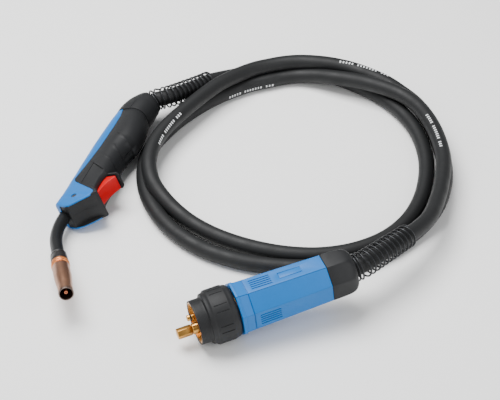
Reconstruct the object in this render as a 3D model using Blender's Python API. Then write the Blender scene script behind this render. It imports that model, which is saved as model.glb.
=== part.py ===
"""Air cooled MIG welding torch with swan neck, sprung cable and central plug.

Lengths are in metres, +Z is up and the torch lies on its side on z = 0.
"""
import math

import bmesh
import bpy
from mathutils import Matrix, Vector

MM = 0.001
GAP = 0.3 * MM

# where the torch lies: handle axis along -Y, rolled so that the trigger side is up
ORIGIN = Vector((11.574 * MM, -76.382 * MM, 0.0))
HANDLE_AT = Vector((-4.0 * MM, 0.0, 20.605 * MM))
ROLL = math.radians(22.0)

# handle: (y, back x, trigger side x, half thickness, back radius, trigger side radius)
HANDLE_STATIONS = (
    (55.0, -17.2, 19.6, 17.0, 13.0, 14.0),
    (40.0, -18.4, 24.0, 17.5, 13.0, 15.0),
    (15.0, -19.8, 27.0, 17.5, 13.0, 15.0),
    (-8.0, -20.6, 21.5, 17.0, 12.0, 14.0),
    (-25.0, -20.9, 19.5, 16.8, 12.0, 12.5),
    (-42.0, -20.8, 20.0, 16.5, 11.0, 11.0),
    (-58.0, -20.5, 22.0, 16.5, 11.0, 8.0),
    (-70.0, -20.2, 19.5, 16.5, 10.0, 6.0),
    (-80.0, -20.0, 19.5, 16.5, 10.0, 5.0),
    (-88.0, -19.8, 21.0, 16.5, 9.5, 4.0),
    (-95.0, -19.6, 27.0, 16.5, 9.0, 2.0),
    (-97.5, -19.6, 28.5, 16.5, 8.5, 2.0),
    (-100.0, -19.5, 25.0, 16.5, 8.0, 1.8),
    (-106.0, -19.3, 18.5, 16.5, 7.0, 1.8),
    (-110.0, -19.0, 13.0, 16.5, 6.0, 1.8),
    (-113.0, -15.5, 8.5, 16.3, 4.0, 1.8),
    (-115.5, -9.5, 4.5, 16.0, 3.0, 1.8),
    (-117.0, -4.5, 1.0, 15.6, 2.0, 1.5),
)
COVER_WALL = 1.7
SHELL_WALL = 1.6
CAVITY_FRONT_Y = -97.0
# plan outline of the blue cover: inner edge from the tail to the nose
COVER_EDGE = (
    (-4.0, 56.0), (-1.0, 42.0), (-1.0, 20.0), (-3.5, -17.0), (-8.0, -50.0),
    (-11.0, -70.0), (-8.5, -75.0), (2.2, -82.0), (17.6, -91.5), (22.6, -95.0),
    (23.6, -98.0), (20.8, -106.0), (13.4, -112.6), (6.0, -116.6), (-3.0, -122.0),
)
PANEL_DEPTH = 0.8

# swan neck and its front end
NECK_X = -11.6 * MM
NECK_BEND_Y = -118.0 * MM
NECK_BEND_R = 90.0 * MM
NECK_BEND = math.radians(31.0)
NECK_SLEEVE_R = 6.1 * MM
NECK_TUBE_R = 4.2 * MM
NECK_BORE_R = 1.6 * MM
NECK_STRAIGHT = 20.0 * MM
NECK_SLEEVE_IN = 20.0 * MM
BLOCK_R = 5.2 * MM
BLOCK_LEN = 30.0 * MM
BLOCK_BLIND = 12.0 * MM
BLOCK_IN = 77.0 * MM
INSULATOR_LEN = 11.0 * MM
INSULATOR_R = 8.3 * MM
NOZZLE_LEN = 64.0 * MM
NOZZLE_REAR_R = 9.3 * MM
NOZZLE_MOUTH_R = 7.6 * MM
NOZZLE_WALL = 1.2 * MM
TIP_R = 3.0 * MM
TIP_SETBACK = 8.0 * MM

# trigger and switch
PIVOT = Vector((14.0 * MM, -90.5 * MM, 0.0))
PIN_R = 1.5 * MM
TRIGGER_HALF = 8.2 * MM
SLOT_CLEAR = 0.4 * MM
SLOT_Y = (-96.6, -60.3)
SWITCH_AT = (-3.0, -84.0, 6.0, -64.0)
SWITCH_HALF = 5.0 * MM
PLUNGER_AT = Vector((6.0 * MM, -68.0 * MM, 0.0))
PLUNGER_R = 1.6 * MM
PLUNGER_OUT = 2.6 * MM

# cable and its springs
CABLE_R = 8.5 * MM
TAIL_EXIT = Vector((13.0 * MM, 89.3 * MM, 0.0))
TAIL_TURN = math.radians(38.0)
TAIL_GRIP = 5.5 * MM
FERRULE_LEN = 23.0 * MM
WIRE_R = 0.85 * MM
HANDLE_SPRING_R = (11.8 * MM, 11.2 * MM)
PLUG_SPRING_R = (13.4 * MM, 11.4 * MM)
SPRING_TURNS = 13.5
SPRING_LEN = 78.0 * MM
COIL_CENTRE = Vector((178.0 * MM, 58.0 * MM, 0.0))

# plug at the machine end
PLUG_AT = Vector((171.0 * MM, -233.7 * MM, 26.5 * MM))
PLUG_AXIS = Vector((-0.7785, -0.6170, -0.115)).normalized()
NUT_LEN = 40.7 * MM
NUT_R = 28.2 * MM
NUT_LOBES = 8
HOUSING_LEN = 94.8 * MM
HOUSING_FLAT = (25.3 * MM, 23.2 * MM)
HOUSING_WALL = 2.6 * MM
HOUSING_SPLIT = math.radians(-112.5)
POST_AT = 13.4 * MM
CAP_LEN = 31.0 * MM
CAP_END_R = 17.0 * MM
CAP_GRIP = 4.5 * MM
CORE_R = 4.4 * MM
LEAD_R = 0.8 * MM
LEAD_APART = 6.6 * MM
PIN_OFFSET = -7.0 * MM
NIPPLE_OFFSET = 9.5 * MM
PILOT_OFFSET = 12.5 * MM


def clear_scene():
    for ob in list(bpy.data.objects):
        bpy.data.objects.remove(ob, do_unlink=True)


def paint(ob, name, rgb, metal=0.0, rough=0.5):
    """One Principled material for one piece."""
    mat = bpy.data.materials.new(name)
    mat.use_nodes = True
    shader = mat.node_tree.nodes["Principled BSDF"]
    shader.inputs["Base Color"].default_value = (rgb[0], rgb[1], rgb[2], 1.0)
    shader.inputs["Metallic"].default_value = metal
    shader.inputs["Roughness"].default_value = rough
    ob.data.materials.clear()
    ob.data.materials.append(mat)


BLACK = ((0.02, 0.02, 0.022), 0.0, 0.55)
RUBBER = ((0.03, 0.03, 0.03), 0.0, 0.8)
BLUE = ((0.02, 0.21, 0.75), 0.0, 0.35)
RED = ((0.65, 0.02, 0.03), 0.0, 0.4)
COPPER = ((0.72, 0.36, 0.22), 1.0, 0.35)
BRASS = ((0.75, 0.52, 0.22), 1.0, 0.3)
STEEL = ((0.5, 0.5, 0.52), 1.0, 0.35)
DARK_STEEL = ((0.08, 0.08, 0.09), 1.0, 0.45)


def from_bmesh(name, bm, look, matrix=None, smooth=True):
    bmesh.ops.remove_doubles(bm, verts=bm.verts, dist=1e-6)
    bmesh.ops.recalc_face_normals(bm, faces=bm.faces)
    mesh = bpy.data.meshes.new(name)
    bm.to_mesh(mesh)
    bm.free()
    if smooth:
        mesh.shade_smooth()
        mesh.set_sharp_from_angle(angle=math.radians(35.0))
    ob = bpy.data.objects.new(name, mesh)
    bpy.context.scene.collection.objects.link(ob)
    if look is not None:
        paint(ob, name + "_mat", look[0], look[1], look[2])
    if matrix is not None:
        ob.matrix_world = matrix
    return ob


def rings_mesh(rings, closed_ends=True, loop=False):
    """Skin a list of rings, each a list of points with the same count."""
    bm = bmesh.new()
    made = [[bm.verts.new(p) for p in ring] for ring in rings]
    count = len(rings[0])
    pairs = len(made) if loop else len(made) - 1
    for i in range(pairs):
        a = made[i]
        b = made[(i + 1) % len(made)]
        for j in range(count):
            k = (j + 1) % count
            bm.faces.new((a[j], a[k], b[k], b[j]))
    if closed_ends and not loop:
        bm.faces.new(made[0])
        bm.faces.new(list(reversed(made[-1])))
    return bm


def lathe(profile, segments=32, wobble=None):
    """Revolve (radius, z) points round Z; the profile is a closed loop."""
    rings = []
    for i, (radius, z) in enumerate(profile):
        ring = []
        for j in range(segments):
            a = 2.0 * math.pi * j / segments
            r = radius + (wobble(i, a) if wobble else 0.0)
            ring.append((r * math.cos(a), r * math.sin(a), z))
        rings.append(ring)
    return rings_mesh(rings, loop=True)


def rod(profile, segments=24):
    """Revolve an open profile of (radius, z), closed flat at both ends."""
    rings = []
    for radius, z in profile:
        ring = []
        for j in range(segments):
            a = 2.0 * math.pi * j / segments
            ring.append((radius * math.cos(a), radius * math.sin(a), z))
        rings.append(ring)
    return rings_mesh(rings)


def prism(points, z0, z1):
    """Extrude a plan polygon from z0 to z1."""
    low = [(p[0], p[1], z0) for p in points]
    high = [(p[0], p[1], z1) for p in points]
    return rings_mesh([low, high])


def box(x0, x1, y0, y1, z0, z1):
    return prism(((x0, y0), (x1, y0), (x1, y1), (x0, y1)), z0, z1)


def scratch(bm):
    return from_bmesh("scratch", bm, None, smooth=False)


def boolean(ob, cutter, how):
    """Apply an exact Boolean for good and remove the cutter."""
    mod = ob.modifiers.new("cut", "BOOLEAN")
    mod.operation = how
    mod.solver = "EXACT"
    mod.object = cutter
    bpy.context.view_layer.update()
    deps = bpy.context.evaluated_depsgraph_get()
    mesh = bpy.data.meshes.new_from_object(ob.evaluated_get(deps))
    ob.modifiers.clear()
    ob.data = mesh
    bpy.data.objects.remove(cutter, do_unlink=True)
    return ob


def copy_of(ob, name):
    twin = ob.copy()
    twin.data = ob.data.copy()
    twin.name = name
    bpy.context.scene.collection.objects.link(twin)
    return twin


def finish(ob, name, look, matrix):
    """Name a Boolean result, clean it, shade it and put it in place."""
    bm = bmesh.new()
    bm.from_mesh(ob.data)
    bmesh.ops.remove_doubles(bm, verts=bm.verts, dist=2e-6)
    bmesh.ops.dissolve_degenerate(bm, edges=bm.edges, dist=2e-6)
    bpy.data.objects.remove(ob, do_unlink=True)
    return from_bmesh(name, bm, look, matrix)


def tube(name, points, radius, look, resolution=2, matrix=None):
    """A round bar along a smooth line, as a POLY curve with filled caps."""
    curve = bpy.data.curves.new(name, "CURVE")
    curve.dimensions = "3D"
    curve.bevel_depth = radius
    curve.bevel_resolution = resolution
    curve.use_fill_caps = True
    spline = curve.splines.new("POLY")
    spline.points.add(len(points) - 1)
    for i, p in enumerate(points):
        spline.points[i].co = (p[0], p[1], p[2], 1.0)
    spline.use_smooth = True
    ob = bpy.data.objects.new(name, curve)
    bpy.context.scene.collection.objects.link(ob)
    paint(ob, name + "_mat", look[0], look[1], look[2])
    if matrix is not None:
        ob.matrix_world = matrix
    return ob


def corner_ring(y, x0, x1, half, r0, r1, steps=4):
    """Rounded rectangle in the XZ plane at y, back corners r0, front corners r1."""
    limit = 0.49 * min(x1 - x0, 2.0 * half)
    r0 = max(0.3, min(r0, limit))
    r1 = max(0.3, min(r1, limit))
    centres = (
        (x1 - r1, half - r1, r1, 0.0),
        (x0 + r0, half - r0, r0, 90.0),
        (x0 + r0, r0 - half, r0, 180.0),
        (x1 - r1, r1 - half, r1, 270.0),
    )
    ring = []
    for cx, cz, r, start in centres:
        for i in range(steps + 1):
            a = math.radians(start + 90.0 * i / steps)
            ring.append(((cx + r * math.cos(a)) * MM, y * MM, (cz + r * math.sin(a)) * MM))
    return ring


def handle_rings(back=0.0, front=0.0, side=0.0, y_from=None, y_to=None):
    """Rings of the handle shape, set in by these amounts in millimetres."""
    rings = []
    for y, x0, x1, half, r0, r1 in HANDLE_STATIONS:
        if y_to is not None and y < y_to:
            continue
        rings.append(corner_ring(y, x0 + back, x1 - front, half - side,
                                 r0 - back, r1 - max(front, 0.5 * side)))
    if y_from is not None:
        y, x0, x1, half, r0, r1 = HANDLE_STATIONS[0]
        rings.insert(0, corner_ring(y_from, x0 + back, x1 - front, half - side,
                                    r0 - back, r1 - max(front, 0.5 * side)))
    return rings


def handle_matrix():
    return (Matrix.Translation(HANDLE_AT - ORIGIN)
            @ Matrix.Rotation(-ROLL, 4, "Y"))


def neck_point(s):
    """Point and direction on the neck line, s metres after the bend begins."""
    arc = NECK_BEND_R * NECK_BEND
    if s <= 0.0:
        return Vector((NECK_X, NECK_BEND_Y - s, 0.0)), Vector((0.0, -1.0, 0.0))
    a = min(s, arc) / NECK_BEND_R
    p = Vector((NECK_X + NECK_BEND_R * (1.0 - math.cos(a)),
                NECK_BEND_Y - NECK_BEND_R * math.sin(a), 0.0))
    d = Vector((math.sin(a), -math.cos(a), 0.0))
    if s > arc:
        p = p + d * (s - arc)
    return p, d


def neck_frame(s):
    """Matrix whose +Z runs forward along the neck line at s."""
    p, d = neck_point(s)
    up = Vector((0.0, 0.0, 1.0))
    side = up.cross(d)
    rot = Matrix((side, up, d)).transposed().to_4x4()
    return Matrix.Translation(p) @ rot


def spread(first, last, count):
    return [first + (last - first) * i / (count - 1) for i in range(count)]


def neck_pipe(line, outer, inner, segments):
    """Pipe along the neck line through these distances."""
    rings = []
    for radius, order in ((outer, line), (inner, list(reversed(line)))):
        for s in order:
            m = neck_frame(s)
            rings.append([m @ Vector((radius * math.cos(a), radius * math.sin(a), 0.0))
                          for a in spread(0.0, 2.0 * math.pi, segments + 1)[:-1]])
    return rings_mesh(rings, loop=True)


def build_neck(hm):
    """Neck tube, sleeve, insulator, spring clip, diffuser, tip and nozzle."""
    arc = NECK_BEND_R * NECK_BEND
    sleeve_end = arc + NECK_STRAIGHT
    tube_end = sleeve_end + INSULATOR_LEN + 3.0 * MM
    bore = NECK_TUBE_R + GAP
    line = spread(-NECK_SLEEVE_IN, sleeve_end, 12)
    from_bmesh("neck_sleeve", neck_pipe(line, NECK_SLEEVE_R, bore, 20), RUBBER, hm)
    rear = BLOCK_BLIND - BLOCK_IN + GAP
    line = [rear] + spread(-NECK_SLEEVE_IN, tube_end, 12)
    from_bmesh("neck_tube", neck_pipe(line, NECK_TUBE_R, NECK_BORE_R, 16), BRASS, hm)

    m = hm @ neck_frame(sleeve_end + GAP)
    back = NECK_TUBE_R + GAP
    bead = 0.6 * MM
    ring_profile = (
        (back, 0.0), (INSULATOR_R - bead, 0.0), (INSULATOR_R, bead),
        (INSULATOR_R + 0.4 * MM, INSULATOR_LEN - bead), (INSULATOR_R, INSULATOR_LEN),
        (back, INSULATOR_LEN),
    )
    from_bmesh("nozzle_insulator", lathe(ring_profile, 32), BLACK, m)

    # the diffuser carries the tip; the clip spring round it holds the nozzle
    nozzle_at = sleeve_end + INSULATOR_LEN + 2.0 * GAP
    m = hm @ neck_frame(nozzle_at)
    seat0 = 3.2 * MM
    seat1 = NOZZLE_LEN - TIP_SETBACK - 24.0 * MM
    seat = (
        (NECK_BORE_R, seat0), (5.4 * MM, seat0), (5.4 * MM, seat0 + 14.0 * MM),
        (4.8 * MM, seat0 + 15.0 * MM), (4.8 * MM, seat1 - 2.0 * MM),
        (4.2 * MM, seat1), (NECK_BORE_R, seat1),
    )
    diffuser = scratch(lathe(seat, 24))
    for k in range(4):
        turn = Matrix.Rotation(math.pi * k / 2.0, 4, "Z") @ Matrix.Translation(
            Vector((4.0 * MM, 0.0, seat1 - 6.0 * MM))) @ Matrix.Rotation(math.pi / 2.0, 4, "Y")
        hole = rod(((0.9 * MM, -3.0 * MM), (0.9 * MM, 3.0 * MM)), 8)
        hole.transform(turn)
        boolean(diffuser, scratch(hole), "DIFFERENCE")
    finish(diffuser, "gas_diffuser", BRASS, m)

    tip0 = seat1 + GAP
    tip1 = NOZZLE_LEN - TIP_SETBACK
    tip = (
        (0.6 * MM, tip0), (TIP_R, tip0), (TIP_R, tip1 - 7.0 * MM),
        (1.9 * MM, tip1), (0.6 * MM, tip1),
    )
    from_bmesh("contact_tip", lathe(tip, 20), COPPER, m)

    clip = []
    turns = 3
    for i in range(turns * 12 + 1):
        a = 2.0 * math.pi * i / 12
        clip.append((6.45 * MM * math.cos(a), 6.45 * MM * math.sin(a),
                     seat0 + 1.6 * MM + 3.2 * MM * i / 12))
    tube("nozzle_clip_spring", clip, 0.6 * MM, STEEL, 1, m)

    r0 = NOZZLE_REAR_R
    r1 = NOZZLE_MOUTH_R
    wall = NOZZLE_WALL
    bead = 0.5 * MM
    outer = [(r0 - bead, 0.0), (r0 - 0.3 * MM, 0.6 * MM)]
    for centre in (4.0 * MM, 9.0 * MM):
        outer.append((r0 - 0.3 * MM, centre - 1.1 * MM))
        outer.append((r0 + 0.35 * MM, centre - 0.5 * MM))
        outer.append((r0 + 0.35 * MM, centre + 0.5 * MM))
        outer.append((r0 - 0.3 * MM, centre + 1.1 * MM))
    outer.append((r0 - 0.3 * MM, 0.5 * NOZZLE_LEN))
    outer.append((r1, NOZZLE_LEN - 12.0 * MM))
    outer.append((r1, NOZZLE_LEN - 0.4 * MM))
    outer.append((r1 - 0.4 * MM, NOZZLE_LEN))
    inner = [
        (r1 - wall, NOZZLE_LEN), (r1 - wall, NOZZLE_LEN - 12.0 * MM),
        (r0 - 0.3 * MM - wall, 0.5 * NOZZLE_LEN), (r0 - 0.3 * MM - wall, 0.0),
    ]
    from_bmesh("gas_nozzle", lathe(outer + inner, 32), COPPER, m)

    bevel = 0.4 * MM
    out = (
        (bore, BLOCK_LEN), (bore, BLOCK_BLIND), (NECK_BORE_R, BLOCK_BLIND), (NECK_BORE_R, 0.0),
        (BLOCK_R - bevel, 0.0), (BLOCK_R, bevel), (BLOCK_R, BLOCK_LEN - bevel),
        (BLOCK_R - bevel, BLOCK_LEN),
    )
    from_bmesh("neck_block", lathe(tuple(reversed(out)), 24), BRASS,
               hm @ neck_frame(-BLOCK_IN))


def cover_prism(grow):
    """Plan region of the cover, grown by this many millimetres, as a tall prism."""
    edge = []
    count = len(COVER_EDGE)
    for i, (x, y) in enumerate(COVER_EDGE):
        ax, ay = COVER_EDGE[max(0, i - 1)]
        bx, by = COVER_EDGE[min(count - 1, i + 1)]
        tx, ty = bx - ax, by - ay
        size = math.hypot(tx, ty)
        edge.append(((x - ty / size * grow) * MM, (y + tx / size * grow) * MM))
    first, last = edge[0], edge[-1]
    far = -40.0 * MM
    pts = [(first[0], first[1] + 6.0 * MM)] + edge
    pts += [(last[0], last[1] - 8.0 * MM), (far, last[1] - 8.0 * MM), (far, first[1] + 6.0 * MM)]
    return prism(pts, -30.0 * MM, 30.0 * MM)


def half_space(top):
    span = 200.0 * MM
    if top:
        return box(-span, span, -span, span, GAP / 2.0, span)
    return box(-span, span, -span, span, -span, -GAP / 2.0)


def side_cylinder(x, y, radius, z0, z1, segments=20):
    bm = rod(((radius, z0), (radius, z1)), segments)
    bmesh.ops.translate(bm, verts=bm.verts, vec=Vector((x, y, 0.0)))
    return bm


def neck_hole():
    hole = rod(((NECK_SLEEVE_R + GAP, -6.0 * MM), (NECK_SLEEVE_R + GAP, 50.0 * MM)), 20)
    hole.transform(neck_frame(-NECK_SLEEVE_IN))
    return scratch(hole)


def build_handle(hm):
    """Grip half shells, blue cover halves, screw, tail cap and what is inside."""
    cut_depth = COVER_WALL + GAP / MM
    lift = 30.0
    body = scratch(rings_mesh(handle_rings()))
    keep = scratch(rings_mesh(handle_rings(cut_depth, -lift, cut_depth, 70.0)))
    skin = boolean(scratch(cover_prism(GAP / MM)), keep, "DIFFERENCE")
    inset = cut_depth + SHELL_WALL
    room = scratch(rings_mesh(handle_rings(inset, 2.4, inset, 66.0, CAVITY_FRONT_Y + 1.0)))
    lip = prism(((16.0 * MM, -9.8 * MM), (32.5 * MM, -9.8 * MM), (34.6 * MM, -7.0 * MM),
                 (34.6 * MM, 7.0 * MM), (32.5 * MM, 9.8 * MM), (16.0 * MM, 9.8 * MM)),
                -59.3 * MM, -57.2 * MM)
    lip.transform(Matrix(((1, 0, 0, 0), (0, 0, 1, 0), (0, 1, 0, 0), (0, 0, 0, 1))))
    boolean(body, scratch(lip), "UNION")
    boolean(body, skin, "DIFFERENCE")
    boolean(body, room, "DIFFERENCE")
    boolean(body, neck_hole(), "DIFFERENCE")
    saddle = rod(((BLOCK_R + GAP, -2.0 * MM), (BLOCK_R + GAP, BLOCK_LEN + 2.0 * MM)), 24)
    saddle.transform(neck_frame(-BLOCK_IN))
    boolean(body, scratch(saddle), "DIFFERENCE")
    slot = TRIGGER_HALF + SLOT_CLEAR
    boolean(body, scratch(box(9.0 * MM, 60.0 * MM, SLOT_Y[0] * MM, SLOT_Y[1] * MM,
                              -slot, slot)), "DIFFERENCE")
    boolean(body, scratch(side_cylinder(PIVOT.x, PIVOT.y, PIN_R + GAP, -14.3 * MM,
                                        14.3 * MM, 16)), "DIFFERENCE")
    for sign in (1.0, -1.0):
        rib = box(-2.4 * MM, 5.4 * MM, -83.0 * MM, -65.0 * MM,
                  sign * (SWITCH_HALF + GAP), sign * 14.0 * MM)
        boolean(body, scratch(rib), "UNION")
        panel = panel_cutter(sign)
        boolean(body, scratch(panel), "DIFFERENCE")
    screw_x, screw_y = 1.6 * MM, -101.0 * MM
    boolean(body, scratch(side_cylinder(screw_x, screw_y, 1.8 * MM, -30.0 * MM, 30.0 * MM, 16)),
            "DIFFERENCE")
    twin = copy_of(body, "scratch_low")
    finish(boolean(body, scratch(half_space(True)), "INTERSECT"), "grip_shell_upper", BLACK, hm)
    finish(boolean(twin, scratch(half_space(False)), "INTERSECT"), "grip_shell_lower", BLACK, hm)

    cover = scratch(rings_mesh(handle_rings()))
    boolean(cover, scratch(cover_prism(0.0)), "INTERSECT")
    boolean(cover, scratch(rings_mesh(handle_rings(COVER_WALL, -lift, COVER_WALL, 70.0))),
            "DIFFERENCE")
    boolean(cover, neck_hole(), "DIFFERENCE")
    boolean(cover, scratch(side_cylinder(screw_x, screw_y, 3.1 * MM, -30.0 * MM, 30.0 * MM, 20)),
            "DIFFERENCE")
    twin = copy_of(cover, "scratch_cover")
    finish(boolean(cover, scratch(half_space(True)), "INTERSECT"), "cover_upper", BLUE, hm)
    finish(boolean(twin, scratch(half_space(False)), "INTERSECT"), "cover_lower", BLUE, hm)

    face = 16.5 * MM - COVER_WALL * MM
    profile = (
        (1.5 * MM, -face + 2.0 * MM), (1.5 * MM, face + 0.1 * MM), (2.7 * MM, face + 0.1 * MM),
        (2.7 * MM, face + 1.3 * MM), (1.4 * MM, face + 1.3 * MM), (1.4 * MM, face + 0.4 * MM),
    )
    screw = rod(profile, 20)
    bmesh.ops.translate(screw, verts=screw.verts, vec=Vector((screw_x, screw_y, 0.0)))
    from_bmesh("cover_screw", screw, DARK_STEEL, hm)
    profile = (
        (2.7 * MM, -face - 1.2 * MM), (2.7 * MM, -face - 0.1 * MM),
        (1.5 * MM, -face - 0.1 * MM), (1.5 * MM, -face + 1.6 * MM),
    )
    stud = rod(profile, 20)
    bmesh.ops.translate(stud, verts=stud.verts, vec=Vector((screw_x, screw_y, 0.0)))
    from_bmesh("cover_screw_insert", stud, BRASS, hm)


def panel_cutter(sign):
    """Shallow recess beside the trigger on one side of the grip."""
    x0, x1 = -2.6 * MM, 40.0 * MM
    y0, y1 = -75.5 * MM, -39.0 * MM
    z0 = sign * (16.6 - PANEL_DEPTH) * MM
    z1 = sign * 30.0 * MM
    lo = [(x0, y0, z0), (x1, y0 - 6.0 * MM, z0), (x1, y1 - 16.0 * MM, z0), (x0, y1, z0)]
    hi = [(p[0], p[1], z1) for p in lo]
    return rings_mesh([lo, hi])


def turned_ring(cx, cy, turn, wide, half, r):
    """Rounded ring round (cx, cy) whose plane is turned toward the trigger side."""
    a = math.radians(turn)
    ring = []
    for x, _, z in corner_ring(0.0, -wide, wide, half, r, r):
        ring.append((cx * MM + x * math.cos(a), cy * MM - x * math.sin(a), z))
    return ring


def tail_direction():
    return Vector((math.sin(TAIL_TURN), math.cos(TAIL_TURN), 0.0))


def tail_matrix():
    """+Z out of the tail cap, origin at the middle of its mouth."""
    d = tail_direction()
    up = Vector((0.0, 0.0, 1.0))
    side = up.cross(d)
    return Matrix.Translation(TAIL_EXIT) @ Matrix((side, up, d)).transposed().to_4x4()


def hermite(ends, ways, t):
    a = 2.0 * t ** 3 - 3.0 * t ** 2 + 1.0
    b = t ** 3 - 2.0 * t ** 2 + t
    c = 3.0 * t ** 2 - 2.0 * t ** 3
    d = t ** 3 - t ** 2
    return ends[0] * a + ways[0] * b + ends[1] * c + ways[1] * d


def build_tail(hm):
    """Tail cap, cable ferrule, core hose and switch leads."""
    seam = HANDLE_STATIONS[0][0] + GAP / MM
    out = TAIL_EXIT.x / MM
    back = TAIL_EXIT.y / MM
    turn = math.degrees(TAIL_TURN)
    cap = scratch(rings_mesh([turned_ring(*row) for row in (
        (1.2, seam, 0.0, 19.0, 17.7, 15.0), (1.9, seam + 8.2, 4.0, 19.2, 17.8, 15.5),
        (4.2, seam + 17.7, 16.0, 18.6, 17.4, 16.0), (7.6, seam + 25.3, 27.0, 16.6, 16.4, 15.6),
        (10.9, seam + 30.9, 34.0, 14.6, 15.0, 14.4), (out, back, turn, 12.9, 13.0, 12.8))]))
    room = scratch(rings_mesh([turned_ring(*row) for row in (
        (1.2, seam - 5.3, 0.0, 16.2, 13.4, 11.0), (2.2, seam + 9.7, 5.0, 16.0, 13.4, 11.5),
        (5.6, seam + 20.7, 20.0, 14.3, 12.9, 12.2), (9.4, seam + 27.7, 31.0, 11.3, 11.2, 10.9))]))
    boolean(cap, room, "DIFFERENCE")
    mouth = rod(((CABLE_R + 0.8 * MM, -20.0 * MM), (CABLE_R + 0.8 * MM, 20.0 * MM)), 24)
    mouth.transform(tail_matrix())
    boolean(cap, scratch(mouth), "DIFFERENCE")
    finish(cap, "tail_cap", BLACK, hm)

    r = CABLE_R
    step = 1.0 * MM
    floor_z = 2.0 * MM
    ferrule = (
        (CORE_R + step, 0.0), (r, 0.0), (r + 0.4 * MM, step),
        (r + 0.4 * MM, FERRULE_LEN - step), (r, FERRULE_LEN), (floor_z, FERRULE_LEN),
        (floor_z, floor_z), (CORE_R + step, floor_z),
    )
    base = tail_matrix() @ Matrix.Translation(
        Vector((0.0, 0.0, -TAIL_GRIP - FERRULE_LEN - GAP)))
    from_bmesh("cable_ferrule", lathe(ferrule, 24), BRASS, hm @ base)

    ends = (Vector((NECK_X, NECK_BEND_Y + BLOCK_IN + GAP, 0.0)),
            base @ Vector((0.0, 0.0, -GAP)))
    pull = 0.2 * (ends[1] - ends[0]).length
    ways = (Vector((0.0, pull, 0.0)), tail_direction() * pull)
    hose = [hermite(ends, ways, t) for t in spread(0.0, 1.0, 14)]
    tube("core_hose", hose, CORE_R, RUBBER, 2, hm)
    for tag, side in (("a", 1.0), ("b", -1.0)):
        ends = (Vector((1.5 * MM, SWITCH_AT[3] * MM + GAP, side * 2.6 * MM)),
                base @ Vector((0.0, side * LEAD_APART, -GAP)))
        lead = [hermite(ends, ways, t) for t in spread(0.0, 1.0, 14)]
        tube("switch_lead_" + tag, lead, LEAD_R, RUBBER, 0, hm)


def build_trigger(hm):
    """Trigger, its pin, the micro switch and the plunger."""
    outline = (
        (31.6, -61.2), (32.4, -62.2), (27.6, -69.5), (24.5, -77.0), (22.9, -85.0),
        (22.2, -94.6), (20.9, -96.0), (14.6, -96.0), (11.0, -94.4), (9.6, -91.5),
        (10.6, -88.0), (14.5, -86.0), (17.0, -82.0), (17.4, -70.6), (9.0, -69.9),
        (9.0, -66.1), (18.0, -65.2), (20.6, -61.2),
    )
    pts = [(x * MM - PIVOT.x, y * MM - PIVOT.y) for x, y in outline]
    bm = prism(pts, -TRIGGER_HALF, TRIGGER_HALF)
    trigger = scratch(bm)
    for sign in (1.0, -1.0):
        cut = rings_mesh([
            [(x * MM - PIVOT.x, y * MM - PIVOT.y, sign * z * MM) for x, y, z in row]
            for row in (
                ((22.0, -102.0, 8.9), (22.0, -102.0, 12.0), (40.0, -102.0, 12.0), (40.0, -102.0, 4.0)),
                ((24.0, -76.0, 8.9), (24.0, -76.0, 12.0), (40.0, -76.0, 12.0), (40.0, -76.0, 4.0)),
                ((30.2, -56.0, 8.9), (30.2, -56.0, 12.0), (44.0, -56.0, 12.0), (44.0, -56.0, 4.0)),
            )])
        boolean(trigger, scratch(cut), "DIFFERENCE")
    hole = rod(((PIN_R + GAP, -20.0 * MM), (PIN_R + GAP, 20.0 * MM)), 16)
    boolean(trigger, scratch(hole), "DIFFERENCE")
    finish(trigger, "trigger", RED, hm @ Matrix.Translation(PIVOT))

    pin = rod(((PIN_R - 0.2 * MM, -14.0 * MM), (PIN_R, -13.7 * MM), (PIN_R, 13.7 * MM),
               (PIN_R - 0.2 * MM, 14.0 * MM)), 16)
    from_bmesh("trigger_pin", pin, STEEL, hm @ Matrix.Translation(PIVOT))

    x0, y0, x1, y1 = SWITCH_AT
    body = scratch(box(x0 * MM, x1 * MM, y0 * MM, y1 * MM, -SWITCH_HALF, SWITCH_HALF))
    well = rod(((PLUNGER_R + GAP, -2.6 * MM), (PLUNGER_R + GAP, 10.0 * MM)), 14)
    face = Matrix.Translation(PLUNGER_AT) @ Matrix.Rotation(math.pi / 2.0, 4, "Y")
    well.transform(face)
    boolean(body, scratch(well), "DIFFERENCE")
    finish(body, "switch_body", BLACK, hm)
    plunger = rod(((PLUNGER_R, -0.4 * MM), (PLUNGER_R, PLUNGER_OUT - 0.6 * MM),
                   (PLUNGER_R - 0.6 * MM, PLUNGER_OUT)), 14)
    from_bmesh("switch_plunger", plunger, RED, hm @ face)


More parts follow.
